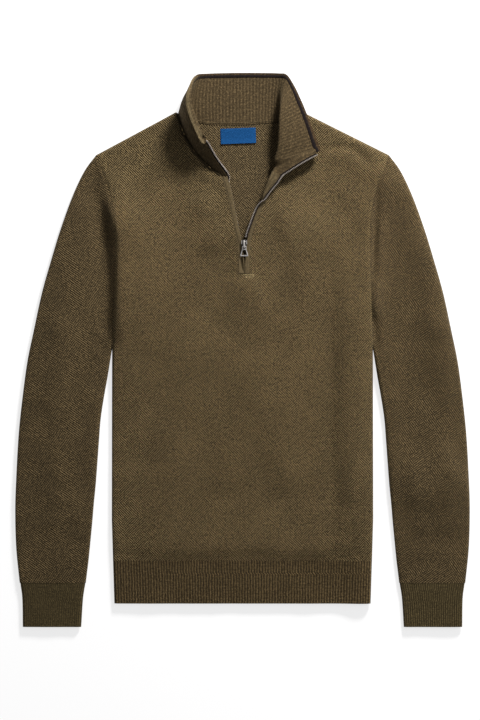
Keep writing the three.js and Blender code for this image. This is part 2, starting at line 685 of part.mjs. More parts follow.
// The zip line on one side: points beside the free edge of the strip and then of the collar's end,
// each with the direction away from the cloth and the cloth's normal.
function zipLine(side) {
  const rows = BAND[side];
  const left = side === "left";
  const line = [];
  for (let k = 3; k <= rows.length - 1; k += 0.5) {
    const p = bandPoint(side, k, 1);
    const out = p.clone().sub(bandPoint(side, k, 0.5)).normalize();
    const under = left ? smooth((rows.length - 1.5 - k) / 1.5 + 0.35) : 0;
    out.lerp(new THREE.Vector3(0.1, 0, -1), 0.86 * under).normalize();
    line.push({ p: p.addScaledVector(out, 0.85 * under), out });
  }
  const end = left ? 0 : COLLAR.length - 1;
  const inward = left ? 0.2 : COLLAR.length - 1.2;
  for (let i = 0; i <= 10; i++) {
    const v = 0.06 + (0.92 * i) / 10;
    const p = collarPoint(end, v);
    line.push({ p, out: p.clone().sub(collarPoint(inward, v)).normalize() });
  }
  return line;
}
// A bar of rectangular section along the zip line, from one distance beyond the cloth's edge to another.
function zipBar(side, near, far, thickness) {
  const line = zipLine(side);
  const points = [];
  const rows = line.map(({ p, out }, i) => {
    const run = line[Math.min(line.length - 1, i + 1)].p.clone().sub(line[Math.max(0, i - 1)].p).normalize();
    const away = out.clone().addScaledVector(run, -out.dot(run)).normalize();
    const n = away.clone().cross(run).normalize().multiplyScalar(side === "left" ? 1 : -1);
    return [near, far].map((reach) => {
      const c = p.clone().addScaledVector(away, reach);
      const outer = c.clone().addScaledVector(n, thickness / 2);
      points.push({ outer, inner: c.clone().addScaledVector(n, -thickness / 2) });
      return points.length - 1;
    });
  });
  return wallGeometry(points, gridFaces(rows, side === "right"));
}

const SLIDER_BASE = Math.max(topLevel(X(240.5), Y(SLIDER.y)), topLevel(X(248), Y(SLIDER.y))) + SEAM_GAP;
const HINGE = {
  x: X(SLIDER.x),
  y: Y(SLIDER.y) - SLIDER.length / 2 + 2.6,
  z: SLIDER_BASE + SLIDER.plate + 0.6 + PULL.rod / 2,
};

// One closed solid from two that meet.
function join(a, b) {
  const solids = [a, b].map((geometry) => {
    const bare = geometry.clone();
    bare.deleteAttribute("normal");
    bare.deleteAttribute("uv");
    const merged = mergeVertices(bare, 1e-4);
    const triVerts = new Uint32Array(merged.index.array);
    return new wasm.Manifold(new wasm.Mesh({ numProp: 3, vertProperties: merged.attributes.position.array, triVerts }));
  });
  const made = solids[0].add(solids[1]).getMesh();
  const geometry = new THREE.BufferGeometry();
  geometry.setAttribute("position", new THREE.Float32BufferAttribute(made.vertProperties, 3));
  geometry.setIndex([...made.triVerts]);
  geometry.computeVertexNormals();
  return geometry;
}

// The slider's plate with its narrowed lower end, and the arched bridge that stands on it.
function slider() {
  const w = SLIDER.width / 2;
  const l = SLIDER.length / 2;
  const outline = new THREE.Shape([
    new THREE.Vector2(-w * 0.62, -l),
    new THREE.Vector2(w * 0.62, -l),
    new THREE.Vector2(w, l * 0.15),
    new THREE.Vector2(w, l * 0.7),
    new THREE.Vector2(w * 0.45, l),
    new THREE.Vector2(-w * 0.45, l),
    new THREE.Vector2(-w, l * 0.7),
    new THREE.Vector2(-w, l * 0.15),
  ]);
  const plate = new THREE.ExtrudeGeometry(outline, { depth: SLIDER.plate, bevelEnabled: false });
  plate.translate(X(SLIDER.x), Y(SLIDER.y), SLIDER_BASE);
  return join(plate, bridge());
}
// The bridge is an arch seen from the side; its feet reach a little into the plate.
function bridge() {
  const l = SLIDER.length / 2;
  const foot = -0.4;
  const rise = SLIDER.bridgeRise;
  const arch = new THREE.Shape([
    new THREE.Vector2(-l + 0.5, foot),
    new THREE.Vector2(-l + 1.5, foot),
    new THREE.Vector2(-l + 1.5, rise - 1.1),
    new THREE.Vector2(l - 3.4, rise - 1.1),
    new THREE.Vector2(l - 3.4, foot),
    new THREE.Vector2(l - 1.2, foot),
    new THREE.Vector2(l - 2, rise - 0.6),
    new THREE.Vector2(l - 3.2, rise),
    new THREE.Vector2(-l + 1.5, rise),
    new THREE.Vector2(-l + 0.5, rise - 0.8),
  ]);
  const body = new THREE.ExtrudeGeometry(arch, { depth: SLIDER.bridgeWidth, bevelEnabled: false });
  body.applyMatrix4(
    new THREE.Matrix4().makeBasis(
      new THREE.Vector3(0, 1, 0),
      new THREE.Vector3(0, 0, 1),
      new THREE.Vector3(1, 0, 0),
    ),
  );
  body.translate(X(SLIDER.x) - SLIDER.bridgeWidth / 2, Y(SLIDER.y), SLIDER_BASE + SLIDER.plate);
  return body;
}

// The pull tab: a small ring round the bridge, then a tapered frame with an open window.
function pull() {
  const g = PULL.armGap / 2;
  const r = PULL.rod;
  const top = PULL.topWidth / 2;
  const end = PULL.endWidth / 2;
  const outline = new THREE.Shape([
    new THREE.Vector2(-g - r, r / 2),
    new THREE.Vector2(-g - r, -PULL.ring + 0.6),
    new THREE.Vector2(-top, -PULL.ring - 0.6),
    new THREE.Vector2(-end, -PULL.length + 1.6),
    new THREE.Vector2(-end, -PULL.length),
    new THREE.Vector2(end, -PULL.length),
    new THREE.Vector2(end, -PULL.length + 1.6),
    new THREE.Vector2(top, -PULL.ring - 0.6),
    new THREE.Vector2(g + r, -PULL.ring + 0.6),
    new THREE.Vector2(g + r, r / 2),
  ]);
  const ring = new THREE.Path([
    new THREE.Vector2(-g, -r / 2),
    new THREE.Vector2(g, -r / 2),
    new THREE.Vector2(g, -PULL.ring + 0.9),
    new THREE.Vector2(-g, -PULL.ring + 0.9),
  ]);
  const f = PULL.frame;
  const window_ = new THREE.Path([
    new THREE.Vector2(-top + f + 0.1, -PULL.ring - 0.8),
    new THREE.Vector2(top - f - 0.1, -PULL.ring - 0.8),
    new THREE.Vector2(end - f - 0.5, -PULL.length + f),
    new THREE.Vector2(-end + f + 0.5, -PULL.length + f),
  ]);
  outline.holes.push(ring, window_);
  const body = new THREE.ExtrudeGeometry(outline, { depth: PULL.rod, bevelEnabled: false });
  body.translate(0, 0, -PULL.rod / 2);
  const below = topLevel(HINGE.x, HINGE.y - PULL.length) + SEAM_GAP;
  body.rotateX(Math.asin((HINGE.z - PULL.rod / 2 - below) / PULL.length));
  body.translate(HINGE.x, HINGE.y, HINGE.z);
  return body;
}

function neckLabel() {
  const slab = new THREE.BoxGeometry(LABEL.width, LABEL.depth, LABEL.thickness);
  slab.rotateZ((LABEL.turn * Math.PI) / 180);
  slab.translate(X(LABEL.x), Y(LABEL.y), WALL + SEAM_GAP + LABEL.thickness / 2);
  return slab;
}

const sweater = new THREE.Group();
sweater.name = "quarter_zip_sweater";
const frontPanel = bodyPanel({
  isTop: true,
  slotY: SLOT_END,
  vPaths: FRONT_V,
  neckPaths: FRONT_NECK,
  rowsBelow: 9,
  rowsAbove: 8,
  neckRows: 6,
  columns: 7,
});
sweater.add(
  mesh("front", frontPanel, COLOURS.body),
  mesh("back", backPanel(), COLOURS.body),
  mesh("sleeve_left", sleeve(-1), COLOURS.sleeve),
  mesh("sleeve_right", sleeve(1), COLOURS.sleeve),
  mesh("cuff_left", cuff(-1), COLOURS.rib),
  mesh("cuff_right", cuff(1), COLOURS.rib),
  mesh("hem_band", hemBand(), COLOURS.rib),
  mesh("collar", collar(), COLOURS.collar),
  mesh("collar_tipping", collarTipping(), COLOURS.tipping),
  mesh("zip_band_left", zipBand("left"), COLOURS.band),
  mesh("zip_band_right", zipBand("right"), COLOURS.band),
  mesh("zip_tape_left", zipBar("left", 0.5, 1.9, 0.8), COLOURS.tape, 0.9),
  mesh("zip_tape_right", zipBar("right", 0.5, 1.9, 0.8), COLOURS.tape, 0.9),
  mesh("zip_chain_left", zipBar("left", 2.3, 4.4, 2), COLOURS.metal, 0.35, 0.9),
  mesh("zip_chain_right", zipBar("right", 2.3, 4.4, 2), COLOURS.metal, 0.35, 0.9),
  mesh("zip_slider", slider(), COLOURS.metal, 0.3, 0.95),
  mesh("zip_pull", pull(), COLOURS.metal, 0.3, 0.95),
  mesh("neck_label", neckLabel(), COLOURS.label, 0.6),
);

// The origin is the middle of the part's footprint.
const box = new THREE.Box3().setFromObject(sweater);
const shift = new THREE.Vector3(-(box.min.x + box.max.x) / 2, -(box.min.y + box.max.y) / 2, 0);
for (const piece of sweater.children) piece.position.add(shift);

export default sweater;
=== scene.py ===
"""Looks of the quarter zip sweater, laid flat: knitted cloth, ribs, zip, stitching, light and camera."""

import math

import bmesh
import bpy
import numpy as np
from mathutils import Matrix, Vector


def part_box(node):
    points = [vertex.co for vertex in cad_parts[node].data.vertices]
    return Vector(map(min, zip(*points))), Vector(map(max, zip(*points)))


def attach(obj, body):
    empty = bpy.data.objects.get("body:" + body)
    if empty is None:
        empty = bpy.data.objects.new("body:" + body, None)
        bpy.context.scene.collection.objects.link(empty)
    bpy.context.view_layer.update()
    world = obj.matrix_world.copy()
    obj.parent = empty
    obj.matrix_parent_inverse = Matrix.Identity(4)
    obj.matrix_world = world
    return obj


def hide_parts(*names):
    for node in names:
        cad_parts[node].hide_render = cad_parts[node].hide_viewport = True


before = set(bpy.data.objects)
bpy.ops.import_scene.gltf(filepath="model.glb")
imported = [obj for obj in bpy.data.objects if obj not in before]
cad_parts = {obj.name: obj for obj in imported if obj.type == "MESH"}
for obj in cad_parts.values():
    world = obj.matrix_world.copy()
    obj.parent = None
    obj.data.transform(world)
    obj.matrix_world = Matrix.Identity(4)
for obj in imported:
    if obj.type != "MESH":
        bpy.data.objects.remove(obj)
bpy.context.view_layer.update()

# Lengths are in mm, as in the part's source. Columns and rows in the tables are steps of GRID, counted from
# the left and from the top. MM turns mm into metres.
MM = 0.001
GRID = 1.42
MID_X = 242.5
MID_Y = 349.5
WALL = 2.2
SEAM_GAP = 0.3
SEAM_SHOWN = 0.1  # the narrower gap that a seam shows here
RISE = 7.4  # top of the front where nothing lifts it
CUFF_RISE = 6.8
HEM_RISE = RISE - 0.4
SEAM_LEVEL = 3.7
FOLD = 5.0  # plan width over which an edge rounds off
HEM_TOP = 560.5
HEM_END = 603.5
CUFF_TOP = 583.0
CUFF_END = 627.0
UNDERARM = 349.0
SLOT_END = 274.5
ZIP_COLUMN = 244.2
SLIDER_ROW = 244.2
SIDES = (-1, 1)


def gx(g):
    return (np.asarray(g, float) - MID_X) * GRID


def gy(g):
    return (MID_Y - np.asarray(g, float)) * GRID


SHIFT_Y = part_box("hem_band")[0][1] * 1000 - float(gy(HEM_END))
# half width, row
BODY_SIDE = [(129.6, HEM_TOP), (130.8, 520), (130.6, 400), (130.5, UNDERARM)]
ARMHOLE = [
    (130.5, UNDERARM), (128.5, 300), (127, 250), (127.5, 219),
    (130.5, 200), (137, 180), (143, 165), (146.5, 155),
]
HEM_SIDE = [(129.6, HEM_TOP), (128.2, HEM_END)]
# outer half width, its row, inner half width, its row
SLEEVE = [
    (146.5, 155, 130.5, UNDERARM), (158.2, 171, 132.6, 362), (170, 196, 135.2, 378), (182, 229, 138.6, 397),
    (191.5, 260, 141.9, 419), (200.8, 293, 143.7, 442), (208.8, 330, 145.3, 464), (215.4, 362, 146.9, 485),
    (220.5, 400, 148.7, 503), (224, 434, 150.3, 522), (226.3, 474, 152.3, 543), (227.5, 510, 154, 560),
    (226.5, 548, 155.6, 573), (223, CUFF_TOP, 156.8, CUFF_TOP),
]
CUFF = [(222.4, CUFF_TOP, 157.2, CUFF_TOP), (220.4, 599, 159.6, 599), (219.9, CUFF_END, 161.4, CUFF_END)]
# x, row
FRONT_V = {
    -1: [(238.8, SLOT_END), (237.6, 243), (233.6, 226), (230.5, 211), (227, 196), (221.3, 176.5)],
    1: [(249.8, SLOT_END), (250.3, 243), (256.5, 222), (264.5, 203), (268.3, 190), (274.5, 172)],
}
FRONT_NECK = {
    -1: [(221.3, 176.5), (208, 168), (193, 152), (181.5, 132), (176, 112)],
    1: [(274.5, 172), (279, 163), (284.5, 150), (292, 131), (299, 110)],
}
BACK_NECK = {
    -1: [(242.5, 125.4), (208, 125), (192, 121.5), (176, 112)],
    1: [(242.5, 125.4), (277, 122.8), (289, 118.5), (299, 110)],
}
# x1, y1, x2, y2, spread, height
RIDGES = [
    (116, 185, 118, 330, 12, 3.2), (369, 195, 369, 330, 9, 2.4), (362, 265, 362, 600, 14, 3.4),
    (345, 158, 384, 182, 13, 2.6), (227, 182, 241, 262, 11, 3.6), (268, 186, 252, 232, 13, 3.4),
    (180, 128, 160, 150, 14, 1.6), (88, 215, 60, 330, 16, 3), (60, 330, 50, 520, 15, 3.2),
    (97, 400, 90, 470, 9, 1.6), (408, 190, 440, 330, 15, 3.4), (440, 330, 450, 520, 14, 3.2),
    (383, 228, 379, 262, 5, 1.8), (392, 400, 400, 500, 8, 1.4),
]
# seam x, y, z; fold x, y, z; top x, y, z
COLLAR = np.array([
    (227.7, 176, 8.8, 214, 158, 24, 203.8, 139, 38),
    (221.4, 175, 8.2, 208.5, 153, 26, 200.5, 132, 42),
    (209.6, 166.2, 6.8, 199, 143, 28, 196, 121, 47),
    (194.9, 151, 6.8, 189.5, 129, 30, 192.4, 109, 50),
    (183.8, 131.2, 6.4, 183.6, 114, 30, 191, 98, 49),
    (178.9, 113.2, 4.8, 183, 102.5, 27, 192, 89, 41),
    (185.2, 115.9, 2.6, 188, 96, 17, 194.6, 81, 28),
    (193.4, 120.3, 1.5, 194, 97, 7, 199, 75.2, 13),
    (208, 124.1, 1.5, 207, 99, 2.2, 209, 73.4, 4),
    (225, 124.4, 1.5, 225, 99, 1.5, 226, 72.7, 1.6),
    (243, 124.5, 1.5, 243, 99, 1.5, 243, 72.5, 1.6),
    (261, 123.1, 1.5, 261, 98.5, 1.5, 262, 72.6, 1.6),
    (276.3, 121.8, 1.5, 276, 99, 3, 279, 73.2, 4),
    (286.6, 117.7, 2.6, 279.4, 100, 13, 287, 75.4, 9),
    (293.2, 112.8, 4, 278, 107, 22, 294, 87, 15),
    (296.6, 111.2, 5.6, 276.6, 114, 25, 299.4, 98.5, 16),
    (292.2, 125, 7.2, 275.8, 124, 25.5, 304, 109, 16),
    (287.2, 140, 7.6, 275.2, 138, 24, 309.3, 122.5, 16.5),
    (281.5, 154, 8.4, 274.6, 151, 21.5, 314.5, 136.5, 17),
    (276.6, 165, 9.4, 273.6, 161, 18.5, 318.6, 146.8, 17.5),
    (273.6, 171.6, 13.6, 294, 159.5, 20.5, 319.7, 149.4, 18),
    (279.6, 175.8, 17.4, 299.5, 163, 21, 320, 151.6, 18),
])
for first in (0, 3, 6):
    COLLAR[:, first] = gx(COLLAR[:, first])
    COLLAR[:, first + 1] = gy(COLLAR[:, first + 1])
# free edge x, row, level or None; where the band rolls over, also its fold x, row, level
BAND = {
    -1: [
        (244.3, 273.7, None), (244.2, 267, None), (243, 254, None), (241, 238, None), (238.4, 226, None),
        (235.4, 211, None), (232.6, 196, None), (230, 185.5, None), (227.7, 177.6, None),
    ],
    1: [
        (244.6, 273.7, None), (244.8, 267, None), (245.8, 254, None), (247.6, 238, None),
        (251.4, 226, None), (257, 211, 11.5),
        (261, 203, 14, 262.2, 203, 11.8), (265.2, 196, 16.4, 263.1, 195.5, 14.6),
        (269.6, 190, 17.6, 265.9, 188.5, 16), (275.4, 183, 18.2, 269.2, 179.8, 16.4),
        (279.9, 176.5, 18.2, 273.3, 171.9, 15.2),
    ],
}
# Soft folds on top of the part's ridges, up to 12 mm high: the line's points, spread on its right or upper
# side, spread on its left or lower side, height
FOLDS = [
    ([(105, 186), (118.5, 224), (124, 266), (121, 318), (116, 352)], 30, 10, 12),
    ([(95, 180), (103, 222), (107, 262), (109.5, 310), (111, 350)], 6, 11, -4.2),
    ([(128, 200), (150, 260), (158, 340)], 30, 16, 3.4),
    ([(170, 112), (184, 142), (202, 168), (224, 182)], 8, 13, 5),
    ([(198, 188), (209, 214), (224, 256)], 16, 20, 6.4),
    ([(316, 160), (296, 172), (272, 192)], 13, 9, -1.8),
    ([(276, 240), (302, 236), (332, 246)], 30, 40, 6),
    ([(281, 200), (290, 232), (302, 268)], 34, 14, 2.2),
    ([(322, 150), (350, 149), (376, 170)], 5, 4, -2.6),
    ([(335, 140), (368, 154), (388, 180)], 10, 14, 3),
    ([(340, 186), (352, 200), (366, 230)], 14, 12, 2.4),
    ([(378, 186), (375, 230), (373, 284)], 3, 3.5, -4.6),
    ([(379, 278), (376, 300), (376, 322)], 9, 4, 6),
    ([(373, 310), (375, 332), (377, 358)], 4, 4, -4.2),
    ([(343, 244), (349, 300), (350, 430), (346, 558)], 24, 14, 8.6),
    ([(334, 300), (333, 420), (338, 540)], 6, 7, -2.2),
    ([(228, 279), (244, 284), (260, 279)], 11, 30, 5.6),
    ([(246, 276), (252, 296), (258, 332)], 12, 16, 1.2),
    ([(258, 372), (268, 430), (298, 500)], 26, 14, 4),
    ([(196, 300), (188, 360), (206, 430)], 20, 24, 1.8),
    ([(165, 400), (172, 470), (160, 540)], 18, 20, 1.6),
    ([(118, 544), (180, 548), (242, 546), (310, 548), (368, 543)], 26, 9, 3.8),
    ([(398, 492), (432, 487), (470, 466)], 36, 30, 9),
    ([(408, 200), (434, 290), (450, 400)], 20, 26, 5.4),
    ([(160, 350), (230, 372), (300, 352)], 30, 22, 1.6),
    ([(150, 452), (214, 470), (270, 450)], 28, 24, 1.5),
    ([(52, 470), (66, 478), (84, 470)], 6, 5, 1),
    ([(48, 494), (62, 500), (82, 496)], 5, 6, 0.9),
    ([(56, 520), (70, 516), (86, 524)], 6, 6, 0.9),
    ([(410, 524), (430, 530), (452, 524)], 6, 7, 0.9),
    ([(406, 556), (428, 552), (456, 558)], 7, 6, 1),
    ([(64, 230), (60, 330), (50, 440)], 26, 22, 2.4),
    ([(92, 330), (101, 336), (110, 346)], 4, 3, 1),
    ([(90, 352), (98, 354), (106, 362)], 4, 4, 0.8),
    ([(381, 356), (392, 352), (402, 356)], 4, 4, 0.8),
    ([(140, 170), (165, 158), (185, 158)], 9, 12, 1.2),
]
LOWEST = 4.9  # the top layer sinks no lower than about this
CREASE = 0.16  # share of the collar's height over which its fold rounds off
COLLAR_HEIGHT = 70.0
EDGE_ROLL = 6.2  # how far the collar's free edge rolls in, on the left
BAND_DIP = 3.4  # how far the left band sinks between rows 253 and 269, below the slider
# pitch, height
RIB = {"hem": (3.9, 0.75), "cuff": (3.1, 0.4), "collar": (4.7, 0.28)}
TEETH_PITCH = 2.1
SIDE_NAME = {-1: "left", 1: "right"}


def smooth(v):
    c = np.clip(v, 0, 1)
    return c * c * (3 - 2 * c)


def plan(rows):
    return np.array([(gx(x), gy(y)) for x, y in rows], float)


def side_path(rows, side):
    return np.array([(side * h * GRID, gy(y)) for h, y in rows], float)


def lengths(path):
    return np.concatenate([[0], np.cumsum(np.linalg.norm(np.diff(path, axis=0), axis=1))])


def interp_rows(at, rows, want):
    """The rows' values at the places want; at gives each row's place."""
    return np.stack([np.interp(want, at, column) for column in rows.T], -1)


def path_points(path, distance):
    return interp_rows(lengths(path), path, distance)


def resampled(path, count, start=0.0, short=0.0):
    """Even points along a path, from start mm after its beginning to short mm before its end."""
    return path_points(path, np.linspace(start, lengths(path)[-1] - short, count))


def path_at_y(path, y):
    return np.stack([np.interp(y, path[:, 1], path[:, 0]), np.asarray(y, float)], -1)


def near_line(x, y, path):
    """Distance in mm from each point to a line, its side (+1 right of a falling line) and its share."""
    best = np.full(np.shape(x), 1e9)
    side = np.ones(np.shape(x))
    share = np.zeros(np.shape(x))
    at = lengths(path)
    for i, (a, b) in enumerate(zip(path[:-1], path[1:])):
        run = b - a
        s = np.clip(((x - a[0]) * run[0] + (y - a[1]) * run[1]) / (run @ run), 0, 1)
        d = np.hypot(x - a[0] - s * run[0], y - a[1] - s * run[1])
        closer = d < best
        best = np.where(closer, d, best)
        side = np.where(closer, np.sign(run[0] * (y - a[1]) - run[1] * (x - a[0])), side)
        share = np.where(closer, (at[i] + s * (at[i + 1] - at[i])) / at[-1], share)
    return best, side, share


def ease(a, b, slope_a, slope_b, s):
    """A smooth curve from a to b with the slopes given, at share s."""
    return (
        a * (1 - 3 * s**2 + 2 * s**3) + b * (3 * s**2 - 2 * s**3)
        + slope_a * (s - 2 * s**2 + s**3) + slope_b * (s**3 - s**2)
    )


def smooth_rows(rows, count):
    """Rows on a smooth curve through a few given rows."""
    t = np.linspace(0, len(rows) - 1, count)
    i = np.minimum(len(rows) - 2, t.astype(int))
    m = np.gradient(rows, axis=0)
    return ease(rows[i], rows[i + 1], m[i], m[i + 1], (t - i)[:, None])


def through(rows, u):
    """Values at the places u, counted in rows, on a smooth curve through all the rows."""
    last = len(rows) - 1
    i = np.minimum(last - 1, np.asarray(u).astype(int))
    a, b, c, d = (rows[np.clip(i + k, 0, last)] for k in (-1, 0, 1, 2))
    s = np.reshape(u - i, np.shape(i) + (1,) * (rows.ndim - 1))
    return ease(b, c, (c - a) * 0.5, (d - b) * 0.5, s)


def wobble(x, y, size, seed):
    """A soft uneven field between about -1 and 1 from a few seeded waves."""
    rng = np.random.default_rng(seed)
    out = np.zeros(np.shape(x))
    waves = 9
    for _ in range(waves):
        angle = rng.uniform(0, 2 * math.pi)
        k = 2 * math.pi / (size * rng.uniform(0.6, 1.6))
        out += np.sin(k * (x * math.cos(angle) + y * math.sin(angle)) + rng.uniform(0, 6.28))
    return out / (waves / 2)


SEAM_LINES = [side_path(ARMHOLE, s) for s in SIDES]
FOLD_LINES = [(smooth_rows(plan(points), 24), up, down, height) for points, up, down, height in FOLDS]


def top_level(x, y, rise=RISE, fine=True):
    """Height of the top layer: its ridges and, if fine, also its soft folds, seams and unevenness."""
    z = np.full(np.shape(x), float(rise))
    for x1, y1, x2, y2, spread, height in RIDGES:
        ax, ay, bx, by = gx(x1), gy(y1), gx(x2) - gx(x1), gy(y2) - gy(y1)
        s = np.clip(((x - ax) * bx + (y - ay) * by) / (bx * bx + by * by), 0, 1)
        d = np.hypot(x - ax - s * bx, y - ay - s * by) / (spread * GRID)
        z = z + height * np.exp(-d * d)
    if fine:
        for line, up, down, height in FOLD_LINES:
            d, side, share = near_line(x, y, line)
            spread = np.where(side > 0, up, down) * GRID
            ends = smooth(share / 0.25) * smooth((1 - share) / 0.25)
            z = z + height * np.exp(-((d / spread) ** 2)) * (0.25 + 0.75 * ends)
        for line in SEAM_LINES:
            d = near_line(x, y, line)[0]
            z = z - 0.9 * np.exp(-((d / 1.9) ** 2))
        z = z + 0.45 * wobble(x, y, 80, 3) + 0.2 * wobble(x, y, 26, 5)
        z = LOWEST + np.logaddexp(0, (z - LOWEST) * 2.5) / 2.5
    return z


def nearest_edge(p, edges):
    """Distance of plan points from the nearest edge, and the direction away from it."""
    best = np.full(len(p), 1e9)
    away = np.zeros((len(p), 2))
    for path, inside in edges:
        for a, b in zip(path[:-1], path[1:]):
            run = b - a
            s = np.clip(((p - a) @ run) / (run @ run), 0, 1)
            foot = a + s[:, None] * run
            v = p - foot
            d = np.linalg.norm(v, axis=1)
            normal = np.array([-run[1], run[0]]) / np.linalg.norm(run) * inside
            direction = np.where((d > 0.02)[:, None], v / np.maximum(d, 1e-9)[:, None], normal)
            closer = d < best - 1e-9
            best = np.where(closer, d, best)
            away[closer] = direction[closer]
    return best, away


def layer(p, edges, is_top, seam, lift=0.0, rise=RISE):
    """Outer and inner points of one layer over plan points p, rounded off at its edges."""
    d, away = nearest_edge(p, edges)
    a = np.arccos(np.clip(1 - d / FOLD, 0, 1))
    inset = np.where(d < FOLD, FOLD - (FOLD - WALL) * np.cos(a) - d, 0)
    level = top_level(p[:, 0], p[:, 1], rise) if is_top else np.zeros(len(p))
    wall = -WALL if is_top else WALL
    lift = lift * smooth(d / (1.6 * FOLD))
    outer = np.column_stack([p, seam + (level - seam) * np.sin(a) + lift])
    inner = np.column_stack([p + away * inset[:, None], seam + (level + wall - seam) * np.sin(a)])
    return outer, inner


# distances from an edge of the points that round it off
ROUND = np.array([FOLD * (1 - math.cos(math.radians(a))) for a in (0, 15, 32, 50, 70, 90)])


def grid_quads(index, flip=False, closed=False):
    rows, columns = index.shape
    quads = []
    for i in range(1, rows):
        k = np.arange(0 if closed else 1, columns)
        j = (k - 1) % columns
        q = np.stack([index[i - 1, j], index[i - 1, k], index[i, k], index[i, j]], 1)
        quads.append(q[:, ::-1] if flip else q)
    return np.concatenate(quads)


def weld(outer, inner, uv, quads):
    """Joins the points that grids share where they meet."""
    keys = np.round(outer, 3)
    _, first, back = np.unique(keys, axis=0, return_index=True, return_inverse=True)
    back = back.reshape(-1)
    return outer[first], inner[first], uv[first], back[quads]


def build(name, points, faces, uv, material, nodes=(), body="garment", slot=None, angle=55):
    mesh = bpy.data.meshes.new(name)
    p = np.asarray(points, float) * MM
    p[:, 1] += SHIFT_Y * MM
    mesh.from_pydata([tuple(v) for v in p], [], [tuple(int(i) for i in f) for f in faces])
    mesh.validate(clean_customdata=False)
    if uv is not None:
        layer_uv = mesh.uv_layers.new(name="UVMap")
        loops = np.zeros(len(mesh.loops), int)
        mesh.loops.foreach_get("vertex_index", loops)
        layer_uv.data.foreach_set("uv", np.asarray(uv, float)[loops].ravel() * MM)
    mesh.polygons.foreach_set("use_smooth", [True] * len(mesh.polygons))
    mesh.set_sharp_from_angle(angle=math.radians(angle))
    obj = bpy.data.objects.new(name, mesh)
    bpy.context.collection.objects.link(obj)
    obj.data.materials.append(material)
    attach(obj, body)
    if nodes:
        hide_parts(*nodes)
    return obj


def wall(name, outer, inner, quads, uv, material, **options):
    """A closed wall: outer face, inner face and the rims between them."""
    n = len(outer)
    quads = np.asarray([q for q in quads if len(set(q)) >= 3])
    faces = [tuple(dict.fromkeys(q)) for q in quads.tolist()]
    faces += [tuple(n + i for i in reversed(f)) for f in faces]
    seen = set()
    for q in quads.tolist():
        for a, b in zip(q, q[1:] + q[:1]):
            if a != b:
                seen.add((a, b))
    for a, b in seen:
        if (b, a) not in seen:
            faces.append((b, a, a + n, b + n))
    return build(name, np.concatenate([outer, inner]), faces, np.concatenate([uv, uv]), material, **options)


# Materials

def set_inputs(node, values):
    for name, value in values.items():
        node.inputs[name].default_value = value


class Nodes:
    """Short helpers to lay out shader nodes."""

    def __init__(self, tree):
        self.tree = tree

    def node(self, kind, **values):
        made = self.tree.nodes.new(kind)
        for key, value in values.items():
            setattr(made, key, value)
        return made

    def link(self, a, b):
        self.tree.links.new(a, b)

    def math(self, operation, a, b=None):
        made = self.node("ShaderNodeMath", operation=operation)
        for socket, value in zip(made.inputs, (a, b)):
            if value is None:
                continue
            if isinstance(value, (int, float)):
                socket.default_value = value
            else:
                self.link(value, socket)
        return made.outputs[0]

    def add(self, a, b):
        return self.math("ADD", a, b)

    def minus(self, a, b):
        return self.math("SUBTRACT", a, b)

    def times(self, a, b):
        return self.math("MULTIPLY", a, b)

    def wave(self, value, factor, shift=0.0):
        return self.math("SINE", self.add(self.times(value, factor), shift))

    def coords(self, kind):
        return self.node("ShaderNodeTexCoord").outputs[kind]

    def split(self, vector):
        made = self.node("ShaderNodeSeparateXYZ")
        self.link(vector, made.inputs[0])
        return made.outputs[0], made.outputs[1]

    def noise(self, coords, scale, detail, rough, output="Fac"):
        made = self.node("ShaderNodeTexNoise")
        set_inputs(made, {"Scale": scale, "Detail": detail, "Roughness": rough})
        self.link(coords, made.inputs["Vector"])
        return made.outputs[output]

    def ramp(self, fac, stops):
        made = self.node("ShaderNodeValToRGB")
        ramp = made.color_ramp
        while len(ramp.elements) < len(stops):
            ramp.elements.new(0.5)
        for element, (place, colour) in zip(ramp.elements, stops):
            element.position = place
            element.color = (*colour, 1)
        self.link(fac, made.inputs["Fac"])
        return made.outputs["Color"]

    def bump(self, height, distance, strength, under=None):
        made = self.node("ShaderNodeBump")
        set_inputs(made, {"Distance": distance, "Strength": strength})
        self.link(height, made.inputs["Height"])
        if under is not None:
            self.link(under, made.inputs["Normal"])
        return made.outputs["Normal"]


def new_material(name):
    material = bpy.data.materials.new(name)
    material.use_nodes = True
    tree = material.node_tree
    return material, Nodes(tree), tree.nodes["Principled BSDF"]


def srgb(r, g, b):
    return tuple(c / 3294.6 if c <= 10.3 else ((c / 255 + 0.055) / 1.055) ** 2.4 for c in (r, g, b))


def scaled(colour, factor):
    return tuple(c * factor for c in colour)


def grey(value):
    return (value, value, value)


def stitch_height(n, coords, pattern, pitch):
    """Height of the stitches, slightly bent. pattern is birdseye, rib or smooth; pitch is in mm."""
    bent = n.node("ShaderNodeVectorMath", operation="MULTIPLY_ADD")
    n.link(n.noise(coords, 120, 3, 0.5, "Color"), bent.inputs[0])
    bent.inputs[1].default_value = (0.0018, 0.0018, 0)
    n.link(coords, bent.inputs[2])
    u, v = n.split(bent.outputs[0])
    turn = 2 * math.pi
    k = turn / (pitch * MM)
    if pattern == "birdseye":
        rising = n.wave(n.add(u, v), k)
        falling = n.wave(n.minus(u, v), k)
        patch = n.ramp(n.noise(coords, 38, 2, 0.5), [(0.42, grey(0.15)), (0.58, grey(0.85))])
        return n.add(n.times(rising, patch), n.times(falling, n.minus(1.0, patch)))
    if pattern == "rib":
        columns = n.wave(u, k, math.pi / 2)
        bow = n.times(n.math("ABSOLUTE", n.wave(u, k / 2)), 0.0008)
        rows = n.wave(n.add(v, bow), turn / 0.0021)
        return n.add(n.times(columns, 0.75), n.times(rows, 0.3))
    rows = n.wave(v, turn / 0.0019)
    columns = n.wave(u, turn / 0.0016)
    return n.times(n.add(rows, columns), 0.5)


